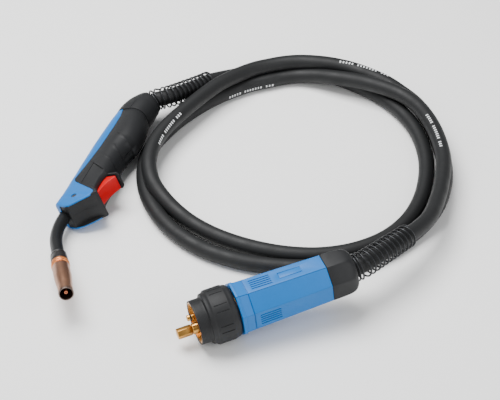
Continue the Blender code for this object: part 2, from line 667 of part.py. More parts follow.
def smooth_line(points, count):
    """Centripetal Catmull-Rom line through the points, evenly respaced."""
    pts = [Vector(p) for p in points]
    pts = [pts[0] * 2.0 - pts[1]] + pts + [pts[-1] * 2.0 - pts[-2]]
    fine = []
    for i in range(1, len(pts) - 2):
        p0, p1, p2, p3 = pts[i - 1], pts[i], pts[i + 1], pts[i + 2]
        t0 = 0.0
        t1 = t0 + math.sqrt((p1 - p0).length)
        t2 = t1 + math.sqrt((p2 - p1).length)
        t3 = t2 + math.sqrt((p3 - p2).length)
        for k in range(16):
            t = t1 + (t2 - t1) * k / 16.0
            a1 = p0 * ((t1 - t) / (t1 - t0)) + p1 * ((t - t0) / (t1 - t0))
            a2 = p1 * ((t2 - t) / (t2 - t1)) + p2 * ((t - t1) / (t2 - t1))
            a3 = p2 * ((t3 - t) / (t3 - t2)) + p3 * ((t - t2) / (t3 - t2))
            b1 = a1 * ((t2 - t) / (t2 - t0)) + a2 * ((t - t0) / (t2 - t0))
            b2 = a2 * ((t3 - t) / (t3 - t1)) + a3 * ((t - t1) / (t3 - t1))
            fine.append(b1 * ((t2 - t) / (t2 - t1)) + b2 * ((t - t1) / (t2 - t1)))
    fine.append(pts[-2])
    lengths = [0.0]
    for i in range(1, len(fine)):
        lengths.append(lengths[-1] + (fine[i] - fine[i - 1]).length)
    line = []
    j = 0
    for i in range(count):
        want = lengths[-1] * i / (count - 1)
        while j < len(fine) - 2 and lengths[j + 1] < want:
            j += 1
        span = max(lengths[j + 1] - lengths[j], 1e-9)
        line.append(fine[j].lerp(fine[j + 1], (want - lengths[j]) / span))
    return line


# the cable's way out of the plug and into the handle, in millimetres
PLUG_BEND = (
    (312.0, -117.5, 46.2), (319.6, -103.8, 46.2), (327.8, -87.6, 45.2), (335.8, -70.5, 43.4),
    (343.1, -53.4, 41), (348.8, -35.8, 38), (352.5, -15.6, 34.8),
)
TAIL_BEND = ((45.9, 141.9, 20.6), (36.2, 125.3, 23.2), (27.3, 110.3, 25.6), (19.6, 100.3, 27.0))
FINE_COUNT = 701
FINE_STEP = 3
FINE_ENDS = 24
COARSE_STEP = 11

# the lay of the cable: (angle in degrees, radius and height in millimetres)
COIL = (
    (344, 181.5, 31.6), (352, 174.8, 28.8), (359, 170.6, 27.2), (9, 167.2, 25.9),
    (18, 164.6, 25.7), (32, 162.6, 25.7), (45, 162.4, 25.7), (53, 159.9, 25.7),
    (60, 156.0, 25.7), (67, 152.0, 24.8), (74, 149.0, 23.6), (81, 147.0, 21.8),
    (88, 147.2, 19.0), (95, 150.4, 14.8), (103, 152.8, 10.8), (110, 151.2, 8.7),
    (116, 147.4, 8.7), (123, 145.0, 8.7), (131, 142.2, 8.7), (139, 140.0, 8.7),
    (148, 139.0, 8.7), (158, 139.2, 8.7), (168, 141.2, 8.7), (177, 144.5, 8.7),
    (186, 150.0, 8.7), (194, 154.4, 8.7), (206, 159.0, 8.7), (218, 163.2, 8.7),
    (231, 167.2, 8.7), (243, 170.6, 8.7), (256, 173.0, 8.7), (269, 173.7, 8.7),
    (282, 174.2, 8.7), (295, 175.6, 8.7), (309, 177.0, 8.7), (323, 177.5, 8.7),
    (337, 176.0, 8.7), (350, 174.0, 8.7), (2, 171.5, 8.7), (14, 169.0, 8.7),
    (26, 167.6, 8.7), (38, 169.0, 10.2), (50, 172.0, 13.9), (60, 170.4, 17.2),
    (67, 168.6, 20.4), (74, 166.4, 22.2), (81, 165.6, 23.2), (88, 163.4, 24.7),
    (95, 162.0, 25.0), (103, 161.8, 23.9), (109, 160.8, 22.8), (116, 157.4, 22.2),
    (123, 153.2, 22.8), (130, 147.4, 24.2), (138, 141.8, 25.4), (148, 136.6, 25.8),
    (160, 133.4, 25.8), (172, 134.6, 25.8), (184, 140.4, 25.8), (195, 147.0, 25.8),
    (205, 152.4, 25.4), (212, 155.0, 23.8), (219, 155.6, 20.8), (227, 152.8, 15.6),
    (235, 149.4, 10.6), (245, 148.0, 8.7), (258, 148.2, 8.7), (272, 150.0, 8.7),
    (285, 153.8, 8.7), (298, 158.6, 8.7), (311, 161.6, 8.7), (324, 162.2, 8.7),
    (337, 159.4, 8.7), (350, 154.4, 8.7), (3, 150.4, 8.7), (16, 149.0, 8.7),
    (29, 149.3, 8.7), (41, 151.2, 8.7), (53, 153.4, 8.7), (65, 155.6, 8.7),
    (78, 158.0, 8.7), (88, 161.6, 8.7), (96, 166.4, 8.7), (104, 170.4, 8.7),
    (112, 170.0, 8.7), (120, 167.0, 9.2), (128, 162.6, 11.6), (134, 160.4, 14.6),
    (141, 159.0, 17.8),
)


def cable_route():
    """Control points of the cable centre line, from the plug to the handle."""
    pm = plug_matrix()
    hm = handle_matrix()
    out = -(NUT_LEN + HOUSING_LEN + CAP_LEN + GAP)
    pts = [pm @ Vector((0.0, 0.0, out + step * MM)) for step in (4.5, -7.0)]
    pts += [Vector(p) * MM - ORIGIN for p in PLUG_BEND]
    for angle, radius, height in COIL:
        a = math.radians(angle)
        pts.append(COIL_CENTRE - ORIGIN + Vector((radius * MM * math.cos(a),
                                                  radius * MM * math.sin(a), height * MM)))
    tail = hm @ TAIL_EXIT
    along = hm.to_3x3() @ tail_direction()
    pts += [Vector(p) * MM - ORIGIN for p in TAIL_BEND]
    pts += [tail + along * (step * MM) for step in (6.0, -5.5)]
    return pts


def cable_line(fine):
    """Thin the fine line out: short steps at both ends, long ones in the coil."""
    line = [fine[0]]
    last = len(fine) - 1
    at = FINE_STEP
    while at < last:
        line.append(fine[at])
        near_end = at < FINE_ENDS or at > last - FINE_ENDS
        at += FINE_STEP if near_end else COARSE_STEP
    line.append(fine[last])
    return line


def spring_round(name, line, start, length, radii, turns, look):
    """Helix of wire round a stretch of the cable line."""
    total = [0.0]
    for i in range(1, len(line)):
        total.append(total[-1] + (line[i] - line[i - 1]).length)
    per_turn = 12
    side = Vector((0.0, 0.0, 1.0))
    pts = []
    for i, t in enumerate(spread(0.0, 1.0, int(turns * per_turn) + 1)):
        want = start + length * t
        j = 0
        while j < len(line) - 2 and total[j + 1] < want:
            j += 1
        p = line[j].lerp(line[j + 1], (want - total[j]) / (total[j + 1] - total[j]))
        d = (line[min(len(line) - 1, j + 2)] - line[max(0, j - 1)]).normalized()
        side = (side - d * side.dot(d)).normalized()
        up = d.cross(side)
        a = 2.0 * math.pi * i / per_turn
        r = radii[0] + (radii[1] - radii[0]) * t
        pts.append(p + side * (r * math.cos(a)) + up * (r * math.sin(a)))
    tube(name, pts, WIRE_R, look, 0)


def build_cable():
    """The cable tube and the two bend protection springs round it."""
    route = cable_route()
    middle = smooth_line(route[1:-1], FINE_COUNT)
    line = [route[0]] + cable_line(middle) + [route[-1]]
    tube("cable", line, CABLE_R, RUBBER, 3)
    fine = [route[0]] + middle + [route[-1]]
    spring_round("plug_spring", fine, CAP_GRIP + GAP + WIRE_R, SPRING_LEN, PLUG_SPRING_R,
                 SPRING_TURNS, DARK_STEEL)
    fine.reverse()
    spring_round("handle_spring", fine, TAIL_GRIP + GAP + WIRE_R, SPRING_LEN, HANDLE_SPRING_R,
                 SPRING_TURNS, DARK_STEEL)


def plug_matrix():
    """+Z out of the plug, origin at the rim of the union nut."""
    d = PLUG_AXIS
    side = Vector((0.0, 0.0, 1.0)).cross(d).normalized()
    up = d.cross(side)
    rot = Matrix((side, up, d)).transposed().to_4x4()
    return Matrix.Translation(PLUG_AT - ORIGIN) @ rot


def octagon(z, flat, soften=0.0):
    """Octagon ring with flats this far from the axis, softened toward a circle."""
    ring = []
    for i in range(8):
        for k in (-1, 1):
            a = math.radians(45.0 * i + k * 18.0)
            face = math.radians(45.0 * i)
            r = flat / math.cos(a - face)
            r = r * (1.0 - soften) + flat * soften
            ring.append((r * math.cos(a), r * math.sin(a), z))
    return ring


def build_plug(pm):
    """Union nut, brass parts, pins, housing halves, cap and what is inside."""
    def lobes(i, a):
        if 5 <= i <= 8:
            return 0.45 * MM * math.cos(NUT_LOBES * a)
        return 0.0

    nut = (
        (21.2 * MM, 0.0), (22.2 * MM, 0.0), (22.5 * MM, -0.5 * MM), (22.5 * MM, -11.5 * MM),
        (25.2 * MM, -12.2 * MM), (26.0 * MM, -16.0 * MM), (NUT_R - 0.5 * MM, -18.0 * MM),
        (NUT_R - 0.5 * MM, -34.0 * MM), (26.6 * MM, -37.5 * MM), (25.0 * MM, -NUT_LEN),
        (16.2 * MM, -NUT_LEN), (16.2 * MM, -37.0 * MM), (19.3 * MM, -37.0 * MM),
        (19.3 * MM, -14.3 * MM), (21.2 * MM, -14.3 * MM),
    )
    from_bmesh("union_nut", lathe(tuple(reversed(nut)), 48, lambda i, a: lobes(14 - i, a)),
               BLACK, pm)
    ring = ((19.6 * MM, -0.4 * MM), (20.9 * MM, -0.4 * MM), (20.9 * MM, -14.0 * MM),
            (19.6 * MM, -14.0 * MM))
    from_bmesh("nut_insert", lathe(tuple(reversed(ring)), 40), BRASS, pm)

    stem = (
        (7.0 * MM, -71.0 * MM), (8.0 * MM, -70.0 * MM), (8.0 * MM, -48.0 * MM),
        (15.8 * MM, -48.0 * MM), (15.8 * MM, -36.6 * MM), (18.7 * MM, -36.6 * MM),
        (18.7 * MM, -10.0 * MM), (18.2 * MM, -9.5 * MM),
    )
    body = scratch(rod(stem, 40))
    boss = rod(((5.6 * MM, -20.0 * MM), (5.6 * MM, 3.2 * MM), (5.2 * MM, 3.6 * MM)), 24)
    bmesh.ops.translate(boss, verts=boss.verts, vec=Vector((0.0, PIN_OFFSET, 0.0)))
    boolean(body, scratch(boss), "UNION")
    boss = rod(((4.4 * MM, -20.0 * MM), (4.4 * MM, -4.5 * MM)), 20)
    bmesh.ops.translate(boss, verts=boss.verts, vec=Vector((0.0, NIPPLE_OFFSET, 0.0)))
    boolean(body, scratch(boss), "UNION")
    for side in (1.0, -1.0):
        bore = rod(((3.5 * MM, -35.0 * MM), (3.5 * MM, 0.0)), 16)
        bmesh.ops.translate(bore, verts=bore.verts,
                            vec=Vector((side * PILOT_OFFSET, 2.0 * MM, 0.0)))
        boolean(body, scratch(bore), "DIFFERENCE")
    finish(body, "plug_body", BRASS, pm)

    hexagon = []
    for radius, z in ((4.9, 3.9), (5.6, 4.6), (5.6, 18.2), (5.0, 19.0)):
        ring = []
        for i in range(6):
            a = math.radians(60.0 * i + 12.0)
            ring.append((radius * MM * math.cos(a), radius * MM * math.sin(a), z * MM))
        hexagon.append(ring)
    liner = scratch(rings_mesh(hexagon))
    boolean(liner, scratch(rod(((1.4 * MM, 0.0), (1.4 * MM, 25.0 * MM)), 14)), "DIFFERENCE")
    finish(liner, "liner_nut", BRASS, pm @ Matrix.Translation(Vector((0.0, PIN_OFFSET, 0.0))))

    nipple = (
        (1.1 * MM, -5.7 * MM), (3.0 * MM, -5.7 * MM), (3.0 * MM, 0.4 * MM), (2.2 * MM, 0.4 * MM),
        (2.2 * MM, 2.4 * MM), (3.0 * MM, 2.4 * MM), (2.8 * MM, 5.2 * MM), (1.1 * MM, 5.2 * MM),
    )
    at = Matrix.Translation(Vector((0.0, NIPPLE_OFFSET, 1.5 * MM)))
    from_bmesh("gas_nipple", lathe(tuple(reversed(nipple)), 20), BRASS, pm @ at)
    seal = []
    for k in range(8):
        a = 2.0 * math.pi * k / 8
        seal.append(((3.2 + 0.68 * math.cos(a)) * MM, (1.4 + 0.68 * math.sin(a)) * MM))
    from_bmesh("nipple_o_ring", lathe(tuple(reversed(seal)), 20), RUBBER, pm @ at)

    for tag, side in (("a", 1.0), ("b", -1.0)):
        at = pm @ Matrix.Translation(Vector((side * PILOT_OFFSET, 2.0 * MM, 0.0)))
        sleeve = (
            (1.9 * MM, -8.8 * MM), (3.2 * MM, -8.8 * MM), (3.2 * MM, -34.6 * MM),
            (1.2 * MM, -34.6 * MM), (1.2 * MM, -32.0 * MM), (1.9 * MM, -32.0 * MM),
        )
        from_bmesh("pilot_sleeve_" + tag, lathe(sleeve, 16), BLACK, at)
        pin = rod(((1.2 * MM, -28.4 * MM), (1.6 * MM, -28.0 * MM), (1.6 * MM, -4.2 * MM),
                   (0.8 * MM, -3.4 * MM)), 14)
        from_bmesh("pilot_pin_" + tag, pin, BRASS, at)

    build_housing(pm)


def build_housing(pm):
    front = -(NUT_LEN + 1.4 * MM)
    rear = front - HOUSING_LEN
    f0, f1 = HOUSING_FLAT
    wall = HOUSING_WALL

    def flat_at(z):
        return f0 + (f1 - f0) * (front - z) / HOUSING_LEN

    shell = scratch(rings_mesh([
        octagon(front, f0 + 0.2 * MM), octagon(front - 0.6 * MM, f0 + 0.9 * MM),
        octagon(front - 3.0 * MM, f0 + 0.9 * MM), octagon(front - 3.8 * MM, f0),
        octagon(rear, f1)]))
    inner0 = front - 5.0 * MM
    inner1 = rear + 3.0 * MM
    boolean(shell, scratch(rings_mesh([
        octagon(inner0, flat_at(inner0) - wall), octagon(inner1, flat_at(inner1) - wall)])),
        "DIFFERENCE")
    boolean(shell, scratch(rod(((15.8 * MM + GAP, inner0 - 1.0 * MM),
                                (15.8 * MM + GAP, front + 1.0 * MM)), 32)), "DIFFERENCE")
    boolean(shell, scratch(rod(((CABLE_R + 0.9 * MM, rear - 1.0 * MM),
                                (CABLE_R + 0.9 * MM, inner1 + 1.0 * MM)), 24)), "DIFFERENCE")
    screw_z = rear + 22.0 * MM
    across = Matrix.Rotation(HOUSING_SPLIT, 4, "Z")
    for side in (1.0, -1.0):
        where = across @ Matrix.Translation(Vector((side * POST_AT, 0.0, screw_z)))
        post = rod(((3.6 * MM, -16.8 * MM), (3.6 * MM, 16.8 * MM)), 16)
        post.transform(where @ Matrix.Rotation(math.pi / 2.0, 4, "X"))
        boolean(shell, scratch(post), "UNION")
        hole = rod(((1.5 * MM + GAP, -40.0 * MM), (1.5 * MM + GAP, 14.0 * MM)), 14)
        hole.transform(where @ Matrix.Rotation(-math.pi / 2.0, 4, "X"))
        boolean(shell, scratch(hole), "DIFFERENCE")
        well = rod(((3.0 * MM, -40.0 * MM), (3.0 * MM, -14.0 * MM)), 16)
        well.transform(where @ Matrix.Rotation(-math.pi / 2.0, 4, "X"))
        boolean(shell, scratch(well), "DIFFERENCE")
    twin = copy_of(shell, "scratch_shell")
    span = 200.0 * MM
    near = box(-span, span, GAP / 2.0, span, -span, span)
    near.transform(across)
    far = box(-span, span, -span, -GAP / 2.0, -span, span)
    far.transform(across)
    finish(boolean(shell, scratch(near), "INTERSECT"), "housing_front", BLUE, pm)
    finish(boolean(twin, scratch(far), "INTERSECT"), "housing_back", BLUE, pm)
    for tag, side in (("a", 1.0), ("b", -1.0)):
        screw = rod(((1.5 * MM, 12.6 * MM), (1.5 * MM, -14.3 * MM), (2.7 * MM, -14.3 * MM),
                     (2.7 * MM, -16.2 * MM), (1.3 * MM, -16.2 * MM), (1.3 * MM, -15.3 * MM)), 16)
        screw.transform(across @ Matrix.Translation(Vector((side * POST_AT, 0.0, screw_z)))
                        @ Matrix.Rotation(-math.pi / 2.0, 4, "X"))
        from_bmesh("housing_screw_" + tag, screw, DARK_STEEL, pm)

    z0 = rear - GAP
    z1 = z0 - CAP_LEN + 1.4 * MM
    cap = scratch(rings_mesh([
        octagon(z0, f1), octagon(z0 - 11.0 * MM, f1, 0.1),
        octagon(z0 - 19.0 * MM, f1 - 0.4 * MM, 0.35),
        octagon(z0 - 25.0 * MM, f1 - 1.5 * MM, 0.8),
        octagon(z1 + 1.0 * MM, CAP_END_R + 1.8 * MM, 1.0),
        octagon(z1, CAP_END_R, 1.0)]))
    boolean(cap, scratch(rod(((CABLE_R + 0.9 * MM, z1 - 5.0 * MM),
                              (CABLE_R + 0.9 * MM, z0 + 5.0 * MM)), 24)), "DIFFERENCE")
    finish(cap, "plug_cap", BLACK, pm)

    exit_z = -(NUT_LEN + HOUSING_LEN + CAP_LEN + GAP)
    r = CABLE_R
    fer0 = exit_z + CAP_GRIP + GAP
    ferrule = (
        (r - 0.4 * MM, fer0), (r + 0.4 * MM, fer0 + 0.8 * MM), (r + 0.4 * MM, fer0 + FERRULE_LEN),
        (CORE_R + 1.0 * MM, fer0 + FERRULE_LEN + 1.0 * MM),
    )
    from_bmesh("plug_ferrule", rod(ferrule, 24), BRASS, pm)
    core = rod(((CORE_R, fer0 + FERRULE_LEN + 1.0 * MM + GAP), (CORE_R, -71.0 * MM - GAP)), 20)
    from_bmesh("plug_core_hose", core, RUBBER, pm)


def main():
    clear_scene()
    hm = handle_matrix()
    build_neck(hm)
    build_handle(hm)
    build_tail(hm)
    build_trigger(hm)
    build_cable()
    build_plug(plug_matrix())


main()
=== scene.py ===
"""Air cooled MIG welding torch with its coiled cable and central plug, on a pale floor."""

import math

import bmesh
import bpy
from mathutils import Matrix, Vector


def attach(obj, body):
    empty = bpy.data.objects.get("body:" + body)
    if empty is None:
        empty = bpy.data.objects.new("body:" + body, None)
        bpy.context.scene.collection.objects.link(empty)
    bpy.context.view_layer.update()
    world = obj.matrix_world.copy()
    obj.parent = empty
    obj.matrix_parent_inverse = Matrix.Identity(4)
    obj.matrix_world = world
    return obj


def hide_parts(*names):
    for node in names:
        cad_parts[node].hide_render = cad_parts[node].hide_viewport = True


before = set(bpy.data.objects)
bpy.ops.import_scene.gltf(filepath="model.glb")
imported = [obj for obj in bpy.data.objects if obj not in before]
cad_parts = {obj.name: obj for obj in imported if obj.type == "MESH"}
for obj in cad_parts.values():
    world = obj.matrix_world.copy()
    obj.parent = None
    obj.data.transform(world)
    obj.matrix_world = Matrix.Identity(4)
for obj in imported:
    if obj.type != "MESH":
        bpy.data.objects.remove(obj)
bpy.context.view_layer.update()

bl_info = {
    "name": "MIG welding torch",
    "version": (1, 0, 0),
    "blender": (4, 5, 0),
    "location": "3D View > Sidebar > Torch",
    "description": "Builds the torch, its cable and its plug round the packed frame",
    "category": "Add Mesh",
}

MM = 0.001
UP = Vector((0.0, 0.0, 1.0))
GAP = 0.3 * MM

# the handle lies rolled on its side with the trigger up
HANDLE = Matrix.Translation(Vector((-15.574, 76.382, 20.605)) * MM) @ Matrix.Rotation(
    math.radians(-22.0), 4, "Y")

# handle: (y, back x, trigger side x, half thickness, back radius, trigger side radius)
HANDLE_ROWS = (
    (55.0, -17.2, 19.6, 17.0, 13.0, 14.0),
    (40.0, -18.4, 24.0, 17.5, 13.0, 15.0),
    (15.0, -19.8, 27.0, 17.5, 13.0, 15.0),
    (-8.0, -20.6, 21.5, 17.0, 12.0, 14.0),
    (-25.0, -20.9, 19.5, 16.8, 12.0, 12.5),
    (-42.0, -20.8, 20.0, 16.5, 11.0, 11.0),
    (-58.0, -20.5, 22.0, 16.5, 11.0, 8.0),
    (-70.0, -20.2, 19.5, 16.5, 10.0, 6.0),
    (-80.0, -20.0, 19.5, 16.5, 10.0, 5.0),
    (-88.0, -19.8, 21.0, 16.5, 9.5, 4.0),
    (-95.0, -19.6, 27.0, 16.5, 9.0, 2.0),
    (-97.5, -19.6, 28.5, 16.5, 8.5, 2.0),
    (-100.0, -19.5, 25.0, 16.5, 8.0, 1.8),
    (-106.0, -19.3, 18.5, 16.5, 7.0, 1.8),
    (-110.0, -19.0, 13.0, 16.5, 6.0, 1.8),
    (-113.0, -15.5, 8.5, 16.3, 4.0, 1.8),
    (-115.5, -9.5, 4.5, 16.0, 3.0, 1.8),
    (-117.0, -4.5, 1.0, 15.6, 2.0, 1.5),
)
COVER_EDGE = (
    (-4.0, 56.0), (-1.0, 42.0), (-1.0, 20.0), (-3.5, -17.0), (-8.0, -50.0),
    (-11.0, -70.0), (-8.5, -75.0), (2.2, -82.0), (17.6, -91.5), (22.6, -95.0),
    (23.6, -98.0), (20.8, -106.0), (13.4, -112.6), (6.0, -116.6), (-3.0, -122.0),
)
COVER_WALL = 1.7
SHELL_WALL = 1.6
SCREW_AT = (1.6, -101.0)
SLOT_HALF = 8.6
SLOT_Y = (-96.6, -60.3)
CAVITY_Y = -95.01
PIVOT = Vector((14.0, -90.5, 0.0)) * MM

# tail cap: (centre y, centre x, turn in degrees, half width, half thickness, corner radius)
TAIL_ROWS = (
    (55.3, 1.2, 0.0, 19.0, 17.7, 15.0), (63.5, 1.9, 4.0, 19.2, 17.8, 15.5),
    (73.0, 4.2, 16.0, 18.6, 17.4, 16.0), (80.6, 7.6, 27.0, 16.6, 16.4, 15.6),
    (86.2, 10.9, 34.0, 14.6, 15.0, 14.4), (89.3, 13.0, 38.0, 12.9, 13.0, 12.8),
)
TAIL_ROOM = (
    (50.0, 1.2, 0.0, 16.2, 13.4, 11.0), (65.0, 2.2, 5.0, 16.0, 13.4, 11.5),
    (76.0, 5.6, 20.0, 14.3, 12.9, 12.2), (83.0, 9.4, 31.0, 11.3, 11.2, 10.9),
)
TAIL_TURN = math.radians(38.0)
TAIL_EXIT = Vector((13.0, 89.3, 0.0)) * MM

# swan neck
NECK_X = -11.6 * MM
NECK_BEND_Y = -118.0 * MM
NECK_BEND_R = 90.0 * MM
NECK_BEND = math.radians(31.0)
NECK_ARC = NECK_BEND_R * NECK_BEND
NECK_SLEEVE_R = 6.6 * MM
SLEEVE_END = NECK_ARC + 20.0 * MM
INSULATOR_LEN = 11.0 * MM
TIP_START = SLEEVE_END + INSULATOR_LEN + 2.0 * GAP

# plug: +Z out of the plug, origin at the rim of the union nut
PLUG_AXIS = Vector((-0.7785, -0.6170, -0.115)).normalized()
PLUG_AT = Vector((159.426, -157.318, 26.5)) * MM
PIN_OFFSET = -7.0
NIPPLE_OFFSET = 9.5
PILOT_OFFSET = 12.5
HOUSING_FRONT = -42.1
HOUSING_REAR = -136.9
HOUSING_FLAT = (25.3, 23.2)
HOUSING_SPLIT = math.radians(-112.5)
CAP_REAR = -166.5
SCREW_Z = -114.9

# centre line of the cable in millimetres, from inside the tail cap to inside the plug
ROUTE = [Vector(p) * MM for p in (
    (-6.7, 161.3, 24.2), (-0.1, 170.4, 26.9), (8.0, 176.7, 27.0), (15.7, 186.7, 25.6), (24.6, 201.7, 23.2),
    (34.3, 218.3, 20.6), (42.9, 234.4, 17.8), (66.3, 262.5, 11.6), (82.9, 279.0, 9.2), (102.7, 292.0, 8.7),
    (125.2, 299.7, 8.7), (149.0, 299.9, 8.7), (199.3, 288.9, 8.7), (232.2, 275.4, 8.7),
    (258.7, 256.9, 8.7), (280.5, 233.6, 8.7), (297.0, 206.8, 8.7), (309.6, 175.4, 8.7),
    (316.6, 142.2, 8.7), (318.5, 107.6, 8.7), (313.1, 72.1, 8.7), (297.7, 39.0, 8.7), (272.5, 12.4, 8.7),
    (240.9, -5.6, 8.7), (206.2, -14.2, 8.7), (171.7, -15.5, 8.7), (135.6, -10.6, 8.7), (103.9, 0.2, 8.7),
    (80.7, 12.0, 10.6), (62.2, 22.6, 15.6), (45.5, 36.5, 20.8), (35.0, 52.2, 23.8), (28.3, 70.0, 25.4),
    (24.4, 96.3, 25.8), (26.4, 124.6, 25.8), (33.1, 153.1, 25.8), (50.6, 206.8, 25.8), (61.0, 229.3, 25.4),
    (83.0, 262.9, 22.8), (97.4, 275.8, 22.2), (114.1, 286.4, 22.8), (130.0, 292.0, 23.9),
    (152.3, 295.8, 25.0), (172.1, 297.7, 24.7), (192.3, 297.9, 23.2), (212.3, 294.3, 22.2),
    (232.3, 289.6, 20.4), (251.6, 281.9, 17.2), (277.0, 266.1, 13.9), (299.6, 238.4, 10.2),
    (317.1, 207.8, 8.7), (330.4, 175.3, 8.7), (337.8, 140.4, 8.7), (337.8, 104.2, 8.7), (328.4, 65.6, 8.7),
    (308.2, 27.6, 8.7), (277.8, -3.2, 8.7), (240.6, -24.8, 8.7), (202.6, -36.0, 8.7), (163.4, -39.3, 8.7),
    (124.6, -33.5, 8.7), (89.0, -17.6, 8.7), (61.2, 4.4, 8.7), (37.8, 33.9, 8.7), (23.5, 64.7, 8.7),
    (16.6, 97.0, 8.7), (17.2, 118.7, 8.7), (28.3, 163.7, 8.7), (48.6, 208.0, 8.7), (73.1, 241.7, 8.7),
    (87.5, 256.0, 8.7), (101.8, 266.9, 8.7), (114.7, 276.5, 8.7), (132.1, 283.3, 10.8),
    (153.3, 284.2, 14.8), (171.6, 281.5, 19.0), (207.5, 277.6, 23.6), (244.4, 269.5, 25.7),
    (262.7, 262.1, 25.7), (281.3, 249.2, 25.7), (304.3, 220.5, 25.7), (323.0, 185.2, 25.7),
    (331.6, 160.5, 25.9), (339.5, 110.0, 28.8), (340.9, 60.8, 34.8), (337.2, 40.6, 38.0),
    (331.5, 23.0, 41.0), (324.2, 5.9, 43.4), (316.2, -11.2, 45.2), (308.0, -27.4, 46.2),
    (300.4, -41.1, 46.2), (294.7, -50.1, 46.5), (285.8, -57.2, 45.2),
)]
CABLE_STEPS = 540
TAIL_GRIP = 5.5 * MM
PLUG_GRIP = 4.5 * MM
SPRING_LENGTH = 78.0 * MM

# printed words: (first and last control point, angle from up toward outside at each)
PRINTED = (
    (7.00, 11.50, 84, 84), (23.00, 28.00, -84, -84), (32.80, 35.70, -57, -22),
    (43.20, 47.00, -16, 34), (68.55, 72.80, -94, -100), (79.70, 82.70, -20, -8),
)
COIL_CENTRE = Vector((0.1664, 0.1344, 0.0))

# stage: lamps as (name, place from the middle, side, watts), and the camera
MIDDLE = Vector((0.14, 0.07, 0.0))
LAMPS = (("key", (-0.55, 0.1, 1.6), 1.2, 60.0), ("fill", (1.5, -0.5, 1.0), 1.2, 15.0),
         ("front", (-0.6, -1.6, 1.1), 1.2, 10.0))
SKY = 0.36
VIEW_AZIMUTH = math.radians(18.0)
VIEW_ELEVATION = math.radians(40.0)
VIEW_AT = Vector((0.14343, 0.06638, 0.0))
VIEW_DISTANCE = 2.0
VIEW_LENS = 134.6


def linear(code):
    """sRGB hex to a linear colour."""
    out = []
    for i in (0, 2, 4):
        c = int(code[i:i + 2], 16) / 255.0
        out.append(c / 12.92 if c <= 0.04045 else ((c + 0.055) / 1.055) ** 2.4)
    return tuple(out)


class TorchSettings(bpy.types.PropertyGroup):
    """Sizes and colours of the torch."""

    cable_width: bpy.props.FloatProperty(
        name="Cable width", description="Outside diameter of the cable sheath",
        default=0.017, min=0.008, max=0.03, unit="LENGTH")
    wire_width: bpy.props.FloatProperty(
        name="Spring wire", description="Diameter of the wire of the bend springs",
        default=0.0019, min=0.0008, max=0.003, unit="LENGTH")
    spring_turns: bpy.props.FloatProperty(
        name="Spring turns", description="Turns of each bend spring", default=14.0, min=4.0, max=30.0)
    blue: bpy.props.FloatVectorProperty(
        name="Covers and housing", description="Colour of the blue mouldings", subtype="COLOR",
        size=3, default=linear("0067b1"), min=0.0, max=1.0)
    black: bpy.props.FloatVectorProperty(
        name="Grip and caps", description="Colour of the black mouldings", subtype="COLOR",
        size=3, default=linear("17181a"), min=0.0, max=1.0)
    red: bpy.props.FloatVectorProperty(
        name="Trigger", description="Colour of the trigger", subtype="COLOR",
        size=3, default=linear("bc000a"), min=0.0, max=1.0)
    sheath: bpy.props.FloatVectorProperty(
        name="Cable sheath", description="Colour of the rubber sheath", subtype="COLOR",
        size=3, default=linear("18191a"), min=0.0, max=1.0)
    copper: bpy.props.FloatVectorProperty(
        name="Nozzle", description="Colour of the copper nozzle and tip", subtype="COLOR",
        size=3, default=linear("c97a58"), min=0.0, max=1.0)
    brass: bpy.props.FloatVectorProperty(
        name="Contacts", description="Colour of the brass parts", subtype="COLOR",
        size=3, default=linear("cf9a50"), min=0.0, max=1.0)


# ---- materials

MATERIALS = {}
WAVE = math.pi / 10.0  # length of one wave of the wave texture at scale 1


def add(tree, kind, settings=(), **wires):
    """Add a node, set its properties and fill its inputs with values or links."""
    node = tree.nodes.new(kind)
    for name, value in dict(settings).items():
        setattr(node, name, value)
    for name, value in wires.items():
        key = int(name[1:]) if name[1:].isdigit() else name.replace("_", " ")
        socket = node.inputs[key]
        if isinstance(value, bpy.types.NodeSocket):
            tree.links.new(value, socket)
        else:
            socket.default_value = value
    return node


def shaded(colour, by):
    return tuple(max(0.0, min(1.0, c * by)) for c in colour) + (1.0,)


